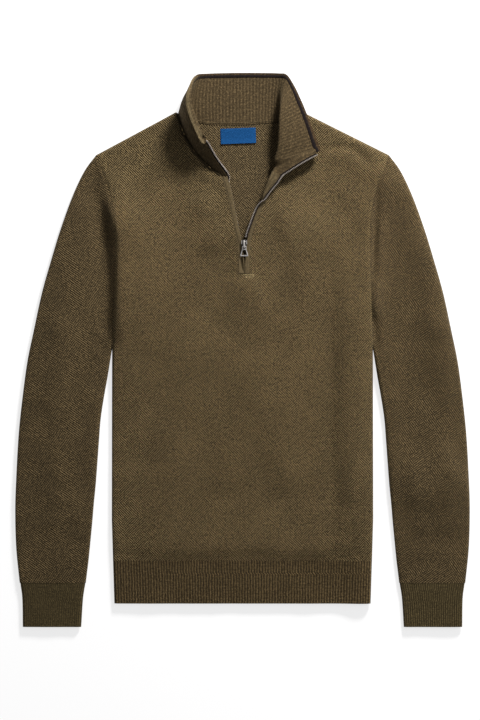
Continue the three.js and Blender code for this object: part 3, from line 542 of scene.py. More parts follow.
def heathered(n, coords, height, speck, colour, stitch_shade, heather):
    """Yarn of lighter and darker fibres, with painted shade between the stitches and painted highlight on
    their tops.
    """
    yarn = n.noise(coords, 1100, 3, 0.7)
    melange = n.noise(coords, 230, 2, 0.6)
    wide = n.noise(coords, 16, 3, 0.6)
    # the stitch height paints shade between the stitches and highlight on their tops
    level = n.times(height, 0.3 * stitch_shade)
    for noise, amount in ((yarn, 0.7), (speck, 2.0), (melange, 0.7), (wide, 0.22)):
        level = n.add(level, n.times(n.minus(noise, 0.5), amount * heather))
    stops = [(0.0, scaled(colour, 0.22)), (0.5, scaled(colour, 0.8)), (1.0, scaled(colour, 2.7))]
    return n.ramp(n.add(level, 0.5), stops)


def tinted_edge(n, coords, mixed, place, tint):
    """The collar's colour, tinted from the share place of its height up, except along its rolled edge."""
    u, v = n.split(coords)
    near = n.ramp(n.times(v, 1000 / COLLAR_HEIGHT), [(place, grey(0)), (place + 0.01, grey(1))])
    blend = n.node("ShaderNodeMix", data_type="RGBA", blend_type="MULTIPLY")
    n.link(n.times(near, n.math("GREATER_THAN", u, 0.0)), blend.inputs["Factor"])
    n.link(mixed, blend.inputs[6])
    blend.inputs[7].default_value = (*tint, 1)
    return blend.outputs[2]


def cloth(name, colour, pattern, stitch_shade=1.0, heather=1.0, bump=0.5, pitch=3.5, edge=None):
    """Knitted cloth; edge is the share of height and the tint of the collar's top."""
    material, n, shader = new_material(name)
    coords = n.coords("UV")
    height = stitch_height(n, coords, pattern, pitch)
    speck = n.noise(coords, 420, 3, 0.8)
    mixed = heathered(n, coords, height, speck, colour, stitch_shade, heather)
    if edge:
        mixed = tinted_edge(n, coords, mixed, *edge)
    n.link(mixed, shader.inputs["Base Color"])
    set_inputs(shader, {
        "Roughness": 0.92, "Specular IOR Level": 0.15,
        "Sheen Weight": 0.12, "Sheen Roughness": 0.5, "Sheen Tint": (0.75, 0.64, 0.42, 1),
    })
    fuzz = n.bump(speck, 0.0012, 0.5)
    n.link(n.bump(height, 0.0008, bump, fuzz), shader.inputs["Normal"])
    return material


def metal(name, colour, rough):
    """Slightly scratched metal."""
    material, n, shader = new_material(name)
    scratch = n.noise(n.coords("Object"), 900, 4, 0.6)
    shade = n.ramp(scratch, [(0.3, scaled(colour, 0.82)), (0.7, colour)])
    n.link(shade, shader.inputs["Base Color"])
    set_inputs(shader, {"Metallic": 0.6})
    n.link(n.add(n.times(scratch, 0.12), rough), shader.inputs["Roughness"])
    n.link(n.bump(scratch, 0.00004, 0.3), shader.inputs["Normal"])
    return material


def label_material():
    """Blue twill, bare."""
    material, n, shader = new_material("label_weave")
    coords = n.coords("UV")
    u, v = n.split(coords)
    twill = n.wave(n.add(u, n.times(v, 2.0)), 2 * math.pi / 0.0009)
    threads = n.wave(v, 2 * math.pi / 0.0006)
    height = n.add(n.times(twill, 0.6), n.times(threads, 0.4))
    speck = n.noise(coords, 1500, 2, 0.6)
    level = n.add(n.add(n.times(height, 0.14), 0.28), n.times(speck, 0.4))
    tint = n.ramp(level, [(0.15, srgb(8, 48, 96)), (0.5, srgb(18, 76, 132)), (0.9, srgb(46, 106, 164))])
    n.link(tint, shader.inputs["Base Color"])
    set_inputs(shader, {"Roughness": 0.8, "Specular IOR Level": 0.1})
    n.link(n.bump(height, 0.00012, 0.6), shader.inputs["Normal"])
    return material


# cloth: name, colour, pattern, strength of the painted shade and highlight of the stitches, strength of the
# heather, bump
M_BODY = cloth("body_knit", srgb(92, 78, 53), "birdseye", 2.6, 1.55, 0.75)
# back knit: the body's yarn made darker, as painted shade for the back seen inside the neck opening
M_BACK_SHADED = cloth("back_knit", srgb(84, 71, 49), "birdseye", 1.8, 1.1, 0.6)
# sleeve knit: the body's yarn a little darker, as painted shade for the sleeves
M_SLEEVE_SHADED = cloth("sleeve_knit", srgb(86, 72, 49), "birdseye", 1.35, 1.0, 0.6, pitch=3.7)
M_HEM = cloth("hem_rib", srgb(82, 68, 45), "rib", 1.5, 1.1, 0.5, RIB["hem"][0])
M_CUFF = cloth("cuff_rib", srgb(79, 68, 44), "rib", 0.7, 0.6, 0.25, RIB["cuff"][0])
COLLAR_TOP = (0.968, (0.62, 0.5, 0.5))
M_COLLAR = cloth("collar_rib", srgb(84, 70, 48), "rib", 0.28, 0.75, 0.25, RIB["collar"][0], COLLAR_TOP)
M_BAND = cloth("band_knit", srgb(102, 88, 63), "smooth", 0.5, 0.4, 0.3)
# lighter smooth knit: the stitches' own colour; on the collar's edge strip it is painted highlight on the
# lit roll
M_EDGE = cloth("edge_knit", srgb(108, 94, 68), "smooth", 0.5, 0.45, 0.3)
M_TIP = cloth("tipping_knit", srgb(30, 23, 24), "smooth", 0.5, 0.5, 0.3)
M_TAPE = cloth("tape_weave", srgb(40, 33, 30), "smooth", 0.5, 0.4, 0.3)
M_THREAD = cloth("thread", srgb(200, 182, 138), "smooth", 0.4, 0.5, 0.2)
M_SEAM = cloth("seam_yarn", srgb(60, 50, 32), "smooth", 0.5, 0.6, 0.3)
M_METAL = metal("zip_metal", (0.9, 0.86, 0.83), 0.2)
# near-black metal of the slider's plate: painted shade for its dark sides beside the bridge
M_SHADE = metal("zip_metal_low", (0.06, 0.055, 0.05), 0.45)
M_TEETH = metal("teeth_metal", (0.82, 0.74, 0.68), 0.25)
M_LABEL = label_material()


# Body panels

def body_outline(side):
    return np.concatenate([side_path(BODY_SIDE, side), side_path(ARMHOLE, side)[1:]])


def panel_edges(side, outline, neck):
    """Where a panel rounds off: down its side and along its shoulder seam."""
    return [(side_path(BODY_SIDE, side), side), (np.array([outline[-1], neck[-1]]), side)]


def shoulder_rows(outline, turn, neck, count):
    """Starts and ends of the rows from turn mm along the outline up to the shoulder seam."""
    length = lengths(outline)[-1]
    neck_length = lengths(neck)[-1]
    s = np.arange(1, count + 1) / count
    steps = ROUND[:-1][::-1]
    starts = np.concatenate([turn + (length - FOLD - turn) * s, length - steps])
    ends = np.concatenate([(neck_length - FOLD) * s, neck_length - steps])
    return path_points(outline, starts), path_points(neck, ends)


def rows_between(starts, ends, columns):
    """Rows of plan points from starts to ends, close together where the panel's side rounds off."""
    rows = []
    for a, b in zip(starts, ends):
        width = np.linalg.norm(b - a)
        first = FOLD / width
        even = first + (1 - first) * np.arange(1, columns + 1) / columns
        shares = np.concatenate([ROUND / width, even])
        rows.append(a + (b - a) * shares[:, None])
    return np.array(rows)


def sewn_panel(name, grids, is_top, material, node):
    """One closed wall over grids of plan points, each with its rounded edges and whether its faces flip."""
    seam = SEAM_LEVEL + (SEAM_GAP if is_top else -SEAM_GAP) / 2
    outers, inners, plans, quads = [], [], [], []
    offset = 0
    for grid, edges, flip in grids:
        p = grid.reshape(-1, 2)
        outer, inner = layer(p, edges, is_top, seam)
        outers.append(outer)
        inners.append(inner)
        plans.append(p)
        quads.append(grid_quads(offset + np.arange(len(p)).reshape(grid.shape[:2]), flip))
        offset += len(p)
    inner = np.concatenate(inners)
    if not is_top:
        inner[:, 2] += 0.25 * np.maximum(0, wobble(inner[:, 0], inner[:, 1], 60, 11))
    welded = weld(np.concatenate(outers), inner, np.concatenate(plans), np.concatenate(quads))
    outer, inner, uv, quads = welded
    return wall(name, outer, inner, quads, uv, material, nodes=[node], slot="knit")


def front_panel():
    """Rows from each side to the V, and below the slit on to a middle line where the halves meet."""
    below, above, shoulder, columns = 74, 42, 30, 44
    slot = float(gy(SLOT_END))
    middle = float(gx(ZIP_COLUMN))
    ys = np.linspace(float(gy(HEM_TOP)) + SEAM_SHOWN / 2, slot, below + 1)
    grids = []
    for side in SIDES:
        v_path, neck, outline = plan(FRONT_V[side]), plan(FRONT_NECK[side]), body_outline(side)
        armhole = np.concatenate([path_at_y(outline, [slot]), outline[outline[:, 1] > slot + 1e-6]])
        corner = 0.6 * lengths(armhole)[-1]
        s = np.arange(1, above + 1) / above
        top_starts, top_ends = shoulder_rows(armhole, corner, neck, shoulder)
        starts = [path_at_y(outline, ys), path_points(armhole, corner * s), top_starts]
        low_ends = np.column_stack([np.full(len(ys), v_path[0, 0]), ys])
        ends = [low_ends, path_points(v_path, lengths(v_path)[-1] * s), top_ends]
        rows = rows_between(np.concatenate(starts), np.concatenate(ends), columns)
        x, y = rows[:below + 1, -1].T
        steps = (x, (x + middle) / 2, np.full(len(x), middle))
        strip = np.stack([np.column_stack([step, y]) for step in steps], 1)
        edges = panel_edges(side, armhole, neck)
        grids += [(rows, edges, side > 0), (strip, edges, side > 0)]
    return sewn_panel("front_knit", grids, True, M_BODY, "front")


def back_panel():
    """Rows from each side to the middle line and to the back neck."""
    count, shoulder, columns = 60, 30, 30
    hem_y = float(gy(HEM_TOP)) + SEAM_SHOWN / 2
    grids = []
    for side in SIDES:
        neck, outline = plan(BACK_NECK[side]), body_outline(side)
        turn = lengths(outline)[-1] * 0.88
        s = np.linspace(0, 1, count)
        starts = path_points(outline, turn * s)
        starts[0, 1] = hem_y
        ends = np.column_stack([np.full(count, neck[0, 0]), hem_y + (neck[0, 1] - hem_y) * s])
        top_starts, top_ends = shoulder_rows(outline, turn, neck, shoulder)
        rows = rows_between(np.concatenate([starts, top_starts]), np.concatenate([ends, top_ends]), columns)
        grids.append((rows, panel_edges(side, outline, neck), side < 0))
    return sewn_panel("back_knit", grids, False, M_BACK_SHADED, "back")


# Flat tubes: sleeves, cuffs and hem band

def flat_tube(name, ends, bow, edges, side, top, under, material, rib=None, rise=RISE, turn=0.0, **options):
    """ends: outer and inner plan point of each section; bow: extra plan shift for shares s of section i."""
    outers, inners, uvs = [], [], []
    along = 0.0
    c, sn = math.cos(turn), math.sin(turn)
    for i, (a, b) in enumerate(ends):
        width = np.linalg.norm(b - a)
        edge = ROUND / width
        first = edge[-1]

        def shares(count):
            mid = first + (1 - 2 * first) * np.arange(1, count) / count
            return np.concatenate([edge, mid, (1 - edge)[::-1]])

        if i:
            along += np.linalg.norm((a + b) / 2 - (ends[i - 1][0] + ends[i - 1][1]) / 2)
        for s, is_top in ((shares(top), True), (shares(under)[::-1][1:-1], False)):
            p = a + (b - a) * s[:, None] + bow(i, s)
            lift = 0.0
            uv = np.column_stack([p[:, 0] * c - p[:, 1] * sn, p[:, 0] * sn + p[:, 1] * c])
            if rib:
                pitch, height = rib
                across = (s - first) / (1 - 2 * first) * round((width - 2 * FOLD) / pitch) * pitch
                uv = np.column_stack([across, np.full(len(s), along)])
                if is_top:
                    lift = height * np.abs(np.cos(np.pi * across / pitch)) ** 0.7
            outer, inner = layer(p, edges, is_top, SEAM_LEVEL, lift, rise)
            outers.append(outer)
            inners.append(inner)
            uvs.append(uv)
    outer, inner, uv = np.concatenate(outers), np.concatenate(inners), np.concatenate(uvs)
    quads = grid_quads(np.arange(len(outer)).reshape(len(ends), -1), side < 0, closed=True)
    return wall(name, outer, inner, quads, uv, material, **options)


def fine_sections(table, side, count):
    """Outer and inner plan points of a tube's sections, and each section's share of the way down."""
    rows = smooth_rows(np.array(table, float), count)
    outer = np.column_stack([side * rows[:, 0] * GRID, gy(rows[:, 1])])
    inner = np.column_stack([side * rows[:, 2] * GRID, gy(rows[:, 3])])
    return outer, inner, np.linspace(0, 1, count)


def sleeve(side):
    outer, inner, t = fine_sections(SLEEVE, side, 110)
    armhole = side_path(ARMHOLE, side)[::-1]
    arm_length = lengths(armhole)[-1]
    for path in (outer, inner):
        path[:, 0] += side * SEAM_SHOWN * np.clip(1 - t * 8, 0, 1)
        path[-1, 1] += SEAM_SHOWN / 2

    def bow(i, s):
        chord = outer[0] + (inner[0] - outer[0]) * s[:, None]
        arm = path_points(armhole, arm_length * s)
        arm[:, 0] += side * SEAM_SHOWN
        return (arm - chord) * (1 - t[i]) ** 1.6

    name = "sleeve_" + SIDE_NAME[side]
    return flat_tube(name + "_knit", list(zip(outer, inner)), bow, [(outer, -side), (inner, side)], side,
                     40, 10, M_SLEEVE_SHADED, turn=side * 0.16, nodes=[name], slot="sleeve_knit")


def straight(i, s):
    return np.zeros((len(s), 2))


def cuff(side):
    outer, inner, t = fine_sections(CUFF, side, 26)
    for path in (outer, inner):
        path[:, 1] -= SEAM_SHOWN / 2 * (1 - t)
    name = "cuff_" + SIDE_NAME[side]
    return flat_tube(name + "_rib", list(zip(outer, inner)), straight, [(outer, -side), (inner, side)], side,
                     26 * 8, 10, M_CUFF, rib=RIB["cuff"], rise=CUFF_RISE, nodes=[name], slot="rib_knit")


def hem_band():
    lefts, rights = (resampled(side_path(HEM_SIDE, side), 26) for side in SIDES)
    for path in (lefts, rights):
        path[0, 1] -= SEAM_SHOWN / 2
    return flat_tube("hem_rib", list(zip(lefts, rights)), straight, [(lefts, 1), (rights, -1)], -1,
                     92 * 7, 14, M_HEM, rib=RIB["hem"], rise=HEM_RISE, nodes=["hem_band"], slot="rib_knit")


# Collar

def unit_rows(v):
    return v / np.linalg.norm(v, axis=-1, keepdims=True)


def collar_point(u, v):
    """Middle of the collar's wall; u counts the table's rows, v goes from the seam at 0 to the top at 1."""
    u, v = np.broadcast_arrays(np.asarray(u, float), np.asarray(v, float))
    seam, mid, top = (through(COLLAR[:, first:first + 3], u) for first in (0, 3, 6))
    low = np.linalg.norm(mid - seam, axis=-1)
    high = np.linalg.norm(top - mid, axis=-1)
    share = np.clip(low / (low + high), 0.28, 0.72)

    def along(w):
        under = (w / share)[..., None]
        over = ((w - share) / (1 - share))[..., None]
        return np.where((w < share)[..., None], seam + (mid - seam) * under, mid + (top - mid) * over)

    start, end = share - CREASE, share + CREASE
    s = np.clip((v - start) / (end - start), 0, 1)[..., None]
    a, b = along(start), along(end)
    p = a + (mid - a) * s
    q = mid + (b - mid) * s
    bent = p + (q - p) * s
    outside = ((v <= start) | (v >= end))[..., None]
    return np.where(outside, along(v), bent)


def collar_normal(u, v):
    last = len(COLLAR) - 1
    e = 0.02
    du = collar_point(np.minimum(last, u + e), v) - collar_point(np.maximum(0, u - e), v)
    dv = collar_point(u, np.minimum(1, v + e)) - collar_point(u, np.maximum(0, v - e))
    return unit_rows(np.cross(du, dv))


def collar_arc():
    """Rows counted finely along the collar and their distance along it, near its top."""
    u = np.linspace(0, len(COLLAR) - 1, 1200)
    return u, lengths(collar_point(u, 0.8))


def collar_wall(name, outer, inner, at, vv, material, **options):
    """A wall from grids of points; at is each column's distance along the collar, vv the points' heights."""
    uv = np.stack([np.broadcast_to(at, vv.shape), vv * COLLAR_HEIGHT], -1).reshape(-1, 2)
    quads = grid_quads(np.arange(vv.size).reshape(vv.shape))
    return wall(name, outer.reshape(-1, 3), inner.reshape(-1, 3), quads, uv, material, **options)


def hump(v, place, spread):
    return np.exp(-(((v - place) / spread) ** 2))


def edge_roll(u, v):
    """Share of the soft roll along the collar's free edge on the wearer's right side."""
    share = (0.12 + 0.88 * smooth((5.4 - u) / 2.4)) * smooth((6.6 - u) / 0.8)
    return share * np.sin(np.pi * np.clip((v - 0.83) / 0.17, 0, 1)) ** 0.8


def collar_edge():
    """The smooth linked strip that lies over the rolled edge and ends in a small knob; its lighter knit is
    painted highlight on the lit roll.
    """
    u = np.linspace(0.05, 6.5, 120)
    wide = 0.125 * (1 - 0.95 * smooth(u / 5.8)) + 0.02
    s = np.linspace(0, 1, 9)[:, None]
    uu = np.broadcast_to(u, (len(s), len(u)))
    vv = 1.0 - wide[None, :] * (1 - s)
    p, n = collar_point(uu, vv), collar_normal(uu, vv)
    crown = (0.9 + hump(uu, 0, 0.35)) * np.sin(np.pi * np.clip(s, 0.04, 1)) ** 0.5
    lift = (WALL / 2 + EDGE_ROLL * edge_roll(uu, vv) + crown)[..., None]
    at = lengths(collar_point(u, 0.9))
    return collar_wall("collar_edge_strip", p - n * (lift - 1.0), p - n * lift, at, vv, M_EDGE)


def collar():
    """The ribbed wall, its ribs fading out at seam, edges, roll and flap."""
    u_fine, arc = collar_arc()
    pitch, height = RIB["collar"]
    per = 7
    at = np.linspace(0, arc[-1], round(arc[-1] / pitch) * per + 1)
    u = np.interp(at, arc, u_fine)
    v = np.concatenate([np.linspace(0, 0.9, 26), np.linspace(0.915, 1, 8)])
    uu, vv = np.meshgrid(u, v)
    p, n = collar_point(uu, vv), collar_normal(uu, vv)
    phase = np.cos(2 * np.pi * np.arange(len(u)) / per)[None, :]
    roll = edge_roll(uu, vv)
    fade = smooth((0.9 - vv) / 0.03) * smooth((vv - 0.02) / 0.04) * smooth((18.8 - uu) / 1.5)
    fade *= (1 - 0.9 * smooth((uu - 13.5) / 1.5)) * (1 - 0.8 * roll)
    rib = height / 2 * phase * fade
    edge = hump(vv, 0.975, 0.022) * 0.7
    groove = 1.3 * hump(vv, 0.815, 0.014) * smooth((5.6 - uu) / 1.2)
    outer = p + n * (WALL / 2 + rib + edge)[..., None]
    inner = p - n * (WALL / 2 - rib + edge + EDGE_ROLL * roll - groove)[..., None]
    for side in (outer, inner):
        side[..., 2] = np.maximum(side[..., 2], 0.02)
    across = at - np.interp(6.7, u_fine, arc)
    return collar_wall("collar_rib", outer, inner, across, vv, M_COLLAR,
                       nodes=["collar"], slot="collar_knit")


def tipping():
    """The dark stripe just below the collar's top edge."""
    u_fine, arc = collar_arc()
    at = np.linspace(0.5, arc[-1] - 0.5, 420)
    uu, vv = np.meshgrid(np.interp(at, arc, u_fine), [0.908, 0.918, 0.938, 0.956, 0.967])
    p, n = collar_point(uu, vv), collar_normal(uu, vv)
    crown = np.array([0.05, 0.45, 0.6, 0.45, 0.05])[:, None, None]
    outer = p + n * (WALL / 2 + 0.25 + crown)
    inner = p + n * (WALL / 2 - 0.1)
    return collar_wall("collar_stripe", outer, inner, at, vv, M_TIP,
                       nodes=["collar_tipping"], slot="tipping")


# Zip

def band_rows(side):
    """Base, fold and free edge of each row of the band."""
    made = []
    for row in BAND[side]:
        fx, y = float(gx(row[0])), float(gy(row[1]))
        base_y = float(gy(row[4])) if len(row) > 3 else y
        base_x = float(path_at_y(plan(FRONT_V[side]), base_y)[0]) - side * 0.15
        bz = float(top_level(base_x, base_y)) - WALL / 2
        fz = row[2] if row[2] is not None else float(top_level(fx, y)) - WALL / 2
        base, free = np.array([base_x, base_y, bz]), np.array([fx, y, fz])
        mid = (base + free) / 2
        if len(row) > 3:
            mid = np.array([float(gx(row[3])), base_y, row[5]])
        elif side < 0 and 253 < row[1] < 269:
            mid[2] -= BAND_DIP
        made.append((base, mid, free))
    return np.array(made)


BAND_ROWS = {side: band_rows(side) for side in SIDES}


def band_point(side, k, s):
    """Middle of the band's wall at row k, from its base at s 0 to its free edge at s 1."""
    base, mid, free = through(BAND_ROWS[side], k)
    over = 2 * mid - (base + free) / 2
    return base * (1 - s) ** 2 + over * 2 * s * (1 - s) + free * s**2


def unit(v):
    return v / max(1e-9, np.linalg.norm(v))


def band_normal(side, k, s):
    last = len(BAND_ROWS[side]) - 1
    ds = band_point(side, k, min(1, s + 0.05)) - band_point(side, k, max(0, s - 0.05))
    dk = band_point(side, min(last, k + 0.1), s) - band_point(side, max(0, k - 0.1), s)
    return unit(np.cross(ds, dk)) * -side


def zip_band(side):
    """The knitted strip, crowned, with a groove beside its base."""
    ks = np.linspace(0, len(BAND[side]) - 1, 150)
    ss = np.array([0, 0.06, 0.14, 0.22, 0.32, 0.45, 0.6, 0.75, 0.88, 0.95, 1.0])
    runs = lengths(np.array([band_point(side, k, 0.5) for k in ks]))
    half = WALL * 0.4
    outer, inner, uv = [], [], []
    for k, run in zip(ks, runs):
        for s in ss:
            p, n = band_point(side, k, s), band_normal(side, k, s)
            crown = 0.5 * math.sin(math.pi * s) ** 0.6 - 0.55 * hump(s, 0.14, 0.07)
            outer.append(p + n * (half + crown - 0.1))
            inner.append(p - n * half)
            uv.append((s * 7, run))
    quads = grid_quads(np.arange(len(outer)).reshape(len(ks), len(ss)), side > 0)
    name = "zip_band_" + SIDE_NAME[side]
    return wall(name + "_knit", np.array(outer), np.array(inner), quads, np.array(uv),
                M_BAND, nodes=[name], slot="band_knit")


def zip_line(side):
    """Points beside the cloth's free edge, with the direction away from the cloth."""
    last = len(BAND[side]) - 1
    line = []
    for k in np.arange(3, last + 0.01, 0.25):
        p = band_point(side, k, 1)
        out = unit(p - band_point(side, k, 0.9))
        under = float(smooth((last - k) / 0.9)) if side < 0 else 0.0
        out = unit(out + (np.array([-0.12, 0, -1]) - out) * 0.92 * under)
        hidden = 4 * under * (1 - under)
        line.append((p + np.array([-0.6, 0, 0.6]) * under - np.array([1.6, 0, 1.8]) * hidden, out))
    end = 0 if side < 0 else len(COLLAR) - 1
    inward = 0.2 if side < 0 else len(COLLAR) - 1.2
    for v in np.linspace(0.06, 0.9, 22):
        p = collar_point(end, v)
        line.append((p, unit(p - collar_point(inward, v))))
    return line


def zip_frames(side, step):
    """Even places along the zip line: point, away from the cloth, along it, square to both, distance."""
    points, outs = (np.array(values) for values in zip(*zip_line(side)))
    at = lengths(points)
    want = np.arange(step / 2, at[-1], step)
    pos, away = interp_rows(at, points, want), interp_rows(at, outs, want)
    run = unit_rows(np.gradient(pos, axis=0))
    away = unit_rows(away - run * np.sum(away * run, axis=1, keepdims=True))
    return pos, away, run, unit_rows(np.cross(away, run) * -side), want


def zip_tape(side):
    """Woven tape that sticks out from under the band's free edge."""
    pos, away, _, n, want = zip_frames(side, 1.2)
    reaches = [0.3, 1.0, 1.7, 2.6]
    half = 0.4
    outer, inner, uv = [], [], []
    for p, a, m, w in zip(pos, away, n, want):
        for r in reaches:
            outer.append(p + a * r + m * half)
            inner.append(p + a * r - m * half)
            uv.append((r, w))
    quads = grid_quads(np.arange(len(outer)).reshape(len(pos), len(reaches)), side > 0)
    name = "zip_tape_" + SIDE_NAME[side]
    return wall(name + "_weave", np.array(outer), np.array(inner), quads, np.array(uv),
                M_TAPE, nodes=[name], slot="tape")


def bevelled_block(centre, axes, sizes, bevel=0.22):
    """Points and faces of a box with chamfered long edges; axes are unit vectors, sizes half lengths."""
    x, y, z = axes
    a, b, c = sizes
    ring = [(a - bevel, -c), (a, -c + bevel), (a, c - bevel), (a - bevel, c),
            (-a + bevel, c), (-a, c - bevel), (-a, -c + bevel), (-a + bevel, -c)]
    points = [centre + x * r + y * sign * b + z * h for sign in (-1, 1) for r, h in ring]
    faces = [tuple(range(7, -1, -1)), tuple(range(8, 16))]
    faces += [(i, (i + 1) % 8, 8 + (i + 1) % 8, 8 + i) for i in range(8)]
    return points, faces


def blocks(name, placed, material, **options):
    """One object from bevelled blocks, each given by its centre, axes and half lengths."""
    points, faces = [], []
    for block in placed:
        made, cells = bevelled_block(*block)
        faces += [tuple(len(points) + i for i in cell) for cell in cells]
        points += made
    return fix_normals(build(name, np.array(points), faces, None, material, angle=30, **options))


def zip_teeth(side):
    """Each tooth is a wide foot and a narrower head."""
    placed = []
    pos, away, run, n, _ = zip_frames(side, TEETH_PITCH)
    for p, a, r, m in zip(pos, away, run, n):
        for reach, wide, tall in ((2.8, 0.6, 0.9), (3.55, 0.3, 0.55)):
            placed.append((p + a * reach, (a, r, m), (wide, 0.55, tall)))
    name = "zip_chain_" + SIDE_NAME[side]
    return blocks(name + "_teeth", placed, M_TEETH, nodes=[name], slot="teeth_metal")


def fix_normals(obj):
    bm = bmesh.new()
    bm.from_mesh(obj.data)
    bmesh.ops.recalc_face_normals(bm, faces=bm.faces)
    bm.to_mesh(obj.data)
    bm.free()
    return obj


def prism(outline, holes, depth, bevel, name, material, body, node, place):
    """A plate cut from a curve outline with holes, rounded along its edges."""
    curve = bpy.data.curves.new(name, "CURVE")
    curve.dimensions = "2D"
    curve.fill_mode = "BOTH"
    curve.extrude = (depth / 2 - bevel) * MM
    curve.bevel_depth = bevel * MM
    curve.bevel_resolution = 3
    for loop in [outline, *holes]:
        spline = curve.splines.new("POLY")
        spline.points.add(len(loop) - 1)
        for point, (x, y) in zip(spline.points, loop):
            point.co = (x * MM, y * MM, 0, 1)
        spline.use_cyclic_u = True
    shape = bpy.data.objects.new(name + "_curve", curve)
    bpy.context.collection.objects.link(shape)
    bpy.context.view_layer.update()
    mesh = bpy.data.meshes.new_from_object(shape.evaluated_get(bpy.context.evaluated_depsgraph_get()))
    bpy.data.objects.remove(shape)
    for v in mesh.vertices:
        v.co = place(v.co)
    mesh.materials.clear()
    mesh.materials.append(material)
    obj = bpy.data.objects.new(name, mesh)
    bpy.context.collection.objects.link(obj)
    mesh.polygons.foreach_set("use_smooth", [True] * len(mesh.polygons))
    mesh.set_sharp_from_angle(angle=math.radians(40))
    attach(obj, body)
    if node:
        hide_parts(node)
    return obj


def rounded(loop, radius):
    """A closed outline with its corners rounded."""
    loop = [np.array(p, float) for p in loop]
    steps = 4
    made = []
    for i, p in enumerate(loop):
        a, b = loop[i - 1], loop[(i + 1) % len(loop)]
        r = min(radius, np.linalg.norm(a - p) * 0.45, np.linalg.norm(b - p) * 0.45)
        start, end = p + unit(a - p) * r, p + unit(b - p) * r
        for k in range(steps + 1):
            s = k / steps
            made.append(start * (1 - s) ** 2 + p * 2 * s * (1 - s) + end * s**2)
    return made


def moved(origin, x, y, z):
    """A point x, y, z metres from an origin in mm."""
    return Vector((origin[0] * MM + x, (origin[1] + SHIFT_Y) * MM + y, origin[2] * MM + z))


SLIDER_X = float(gx(ZIP_COLUMN))
SLIDER_Y = float(gy(SLIDER_ROW))
SLIDER_WIDTH = 8.6
SLIDER_LENGTH = 12.6
PLATE = 1.5  # thickness of the slider's plate
BRIDGE_RISE = 3.4
ROD = 1.2  # thickness of the pull tab
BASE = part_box("zip_slider")[0][2] * 1000
HINGE = np.array([SLIDER_X, SLIDER_Y - SLIDER_LENGTH / 2 + 2.6, BASE + PLATE + ROD / 2 + 0.6])


# the plate's near-black metal is painted shade for the dark sides beside the bridge
def slider_plate():
    bevel = 0.3
    w, l = SLIDER_WIDTH / 2 - bevel, SLIDER_LENGTH / 2 - bevel
    outline = rounded([(-w * 0.62, -l), (w * 0.62, -l), (w, l * 0.15), (w, l * 0.7), (w * 0.45, l),
                       (-w * 0.45, l), (-w, l * 0.7), (-w, l * 0.15)], 1.2)

    def flat(co):
        return moved((SLIDER_X, SLIDER_Y, BASE + PLATE / 2), co.x, co.y, co.z)

    return prism(outline, [], PLATE, bevel, "slider_plate", M_SHADE, "garment", "zip_slider", flat)


def slider_bridge():
    """The arch that the pull tab hangs on, drawn from the side."""
    l, rise = SLIDER_LENGTH / 2, BRIDGE_RISE
    arch = rounded([
        (-l + 0.75, -0.2), (-l + 1.3, -0.2), (-l + 1.3, rise - 1.3), (l - 3.2, rise - 1.3), (l - 3.2, -0.2),
        (l - 1.45, -0.2), (l - 2.1, rise - 0.75), (l - 3.2, rise - 0.22), (-l + 1.5, rise - 0.22),
        (-l + 0.75, rise - 0.95),
    ], 0.5)

    def upright(co):
        return moved((SLIDER_X, SLIDER_Y, BASE + PLATE), co.z, co.x, co.y)

    return prism(arch, [], 2.2, 0.22, "slider_bridge", M_METAL, "garment", None, upright)


def slider_rails():
    l = SLIDER_LENGTH / 2
    placed = []
    for rail in SIDES:
        centre = np.array([SLIDER_X + rail * (SLIDER_WIDTH / 2 - 0.8), SLIDER_Y + l * 0.36, BASE + PLATE])
        placed.append((centre, np.eye(3), (0.5, l * 0.42, 0.55)))
    return blocks("slider_rails", placed, M_METAL, slot="slider_metal")


def pull():
    """The tab: an eye, 2 g wide, round the bridge, then a tapered frame with an open window."""
    e = 0.3
    g, r, ring, length = 1.95, ROD, 4.2, 14.0
    top, end, f = 3.3, 5.7, 1.5
    left = [(-g - r + e, r / 2 - e), (-g - r + e, -ring + 0.6), (-top + e, -ring - 0.6),
            (-end + e, -length + 1.6), (-end + e, -length + e)]
    outline = rounded(left + [(-x, y) for x, y in left[::-1]], 0.8)
    low = -ring + 0.9 - e
    hole = rounded([(-g - e, -r / 2 + e), (g + e, -r / 2 + e), (g + e, low), (-g - e, low)], 0.6)
    foot = -length + f - e
    window = rounded([(-2.4, -ring - 0.5), (2.4, -ring - 0.5), (4.3, foot), (-4.3, foot)], 0.7)
    below = float(top_level(HINGE[0], HINGE[1] - length, fine=False)) + SEAM_GAP
    tilt = math.asin((HINGE[2] - r / 2 - below) / length)
    c, s = math.cos(tilt), math.sin(tilt)

    def laid(co):
        return moved(HINGE, co.x, co.y * c - co.z * s, co.y * s + co.z * c)

    return prism(outline, [hole, window], ROD, e, "pull_tab", M_METAL, "pull", "zip_pull", laid)


# Stitching and label

def tube_faces(index):
    """Side and end faces of a tube; each row of index is a ring."""
    faces = [tuple(q) for q in grid_quads(index, False, True).tolist()]
    return faces + [tuple(index[0].tolist()), tuple(index[-1][::-1].tolist())]


def stitches(name, path, normals, length, radius, gap, material):
    """Short rounded stitches end to end along a line of points lying on the cloth."""
    at = lengths(path)
    shares = np.array([0, 0.25, 0.5, 0.75, 1])
    girths = (0.35, 0.9, 1, 0.9, 0.35)
    lifts = (-0.5, 0.1, 0.3, 0.1, -0.5)
    sides = 6
    points, faces = [], []
    for start in np.arange(0.2, at[-1] - length, length + gap):
        q = interp_rows(at, path, start + length * shares)
        m = unit(interp_rows(at, normals, start + length / 2))
        side = unit(np.cross(m, unit(q[-1] - q[0])))
        faces += tube_faces(len(points) + np.arange(len(shares) * sides).reshape(-1, sides))
        for p, girth, up in zip(q, girths, lifts):
            for a in range(sides):
                angle = a * 2 * math.pi / sides
                round_up, round_out = math.sin(angle) * radius * girth, math.cos(angle) * radius * girth
                points.append(p + m * (up * radius + round_up) + side * round_out)
    points = np.array(points)
    return fix_normals(build(name, points, faces, points[:, :2], material))


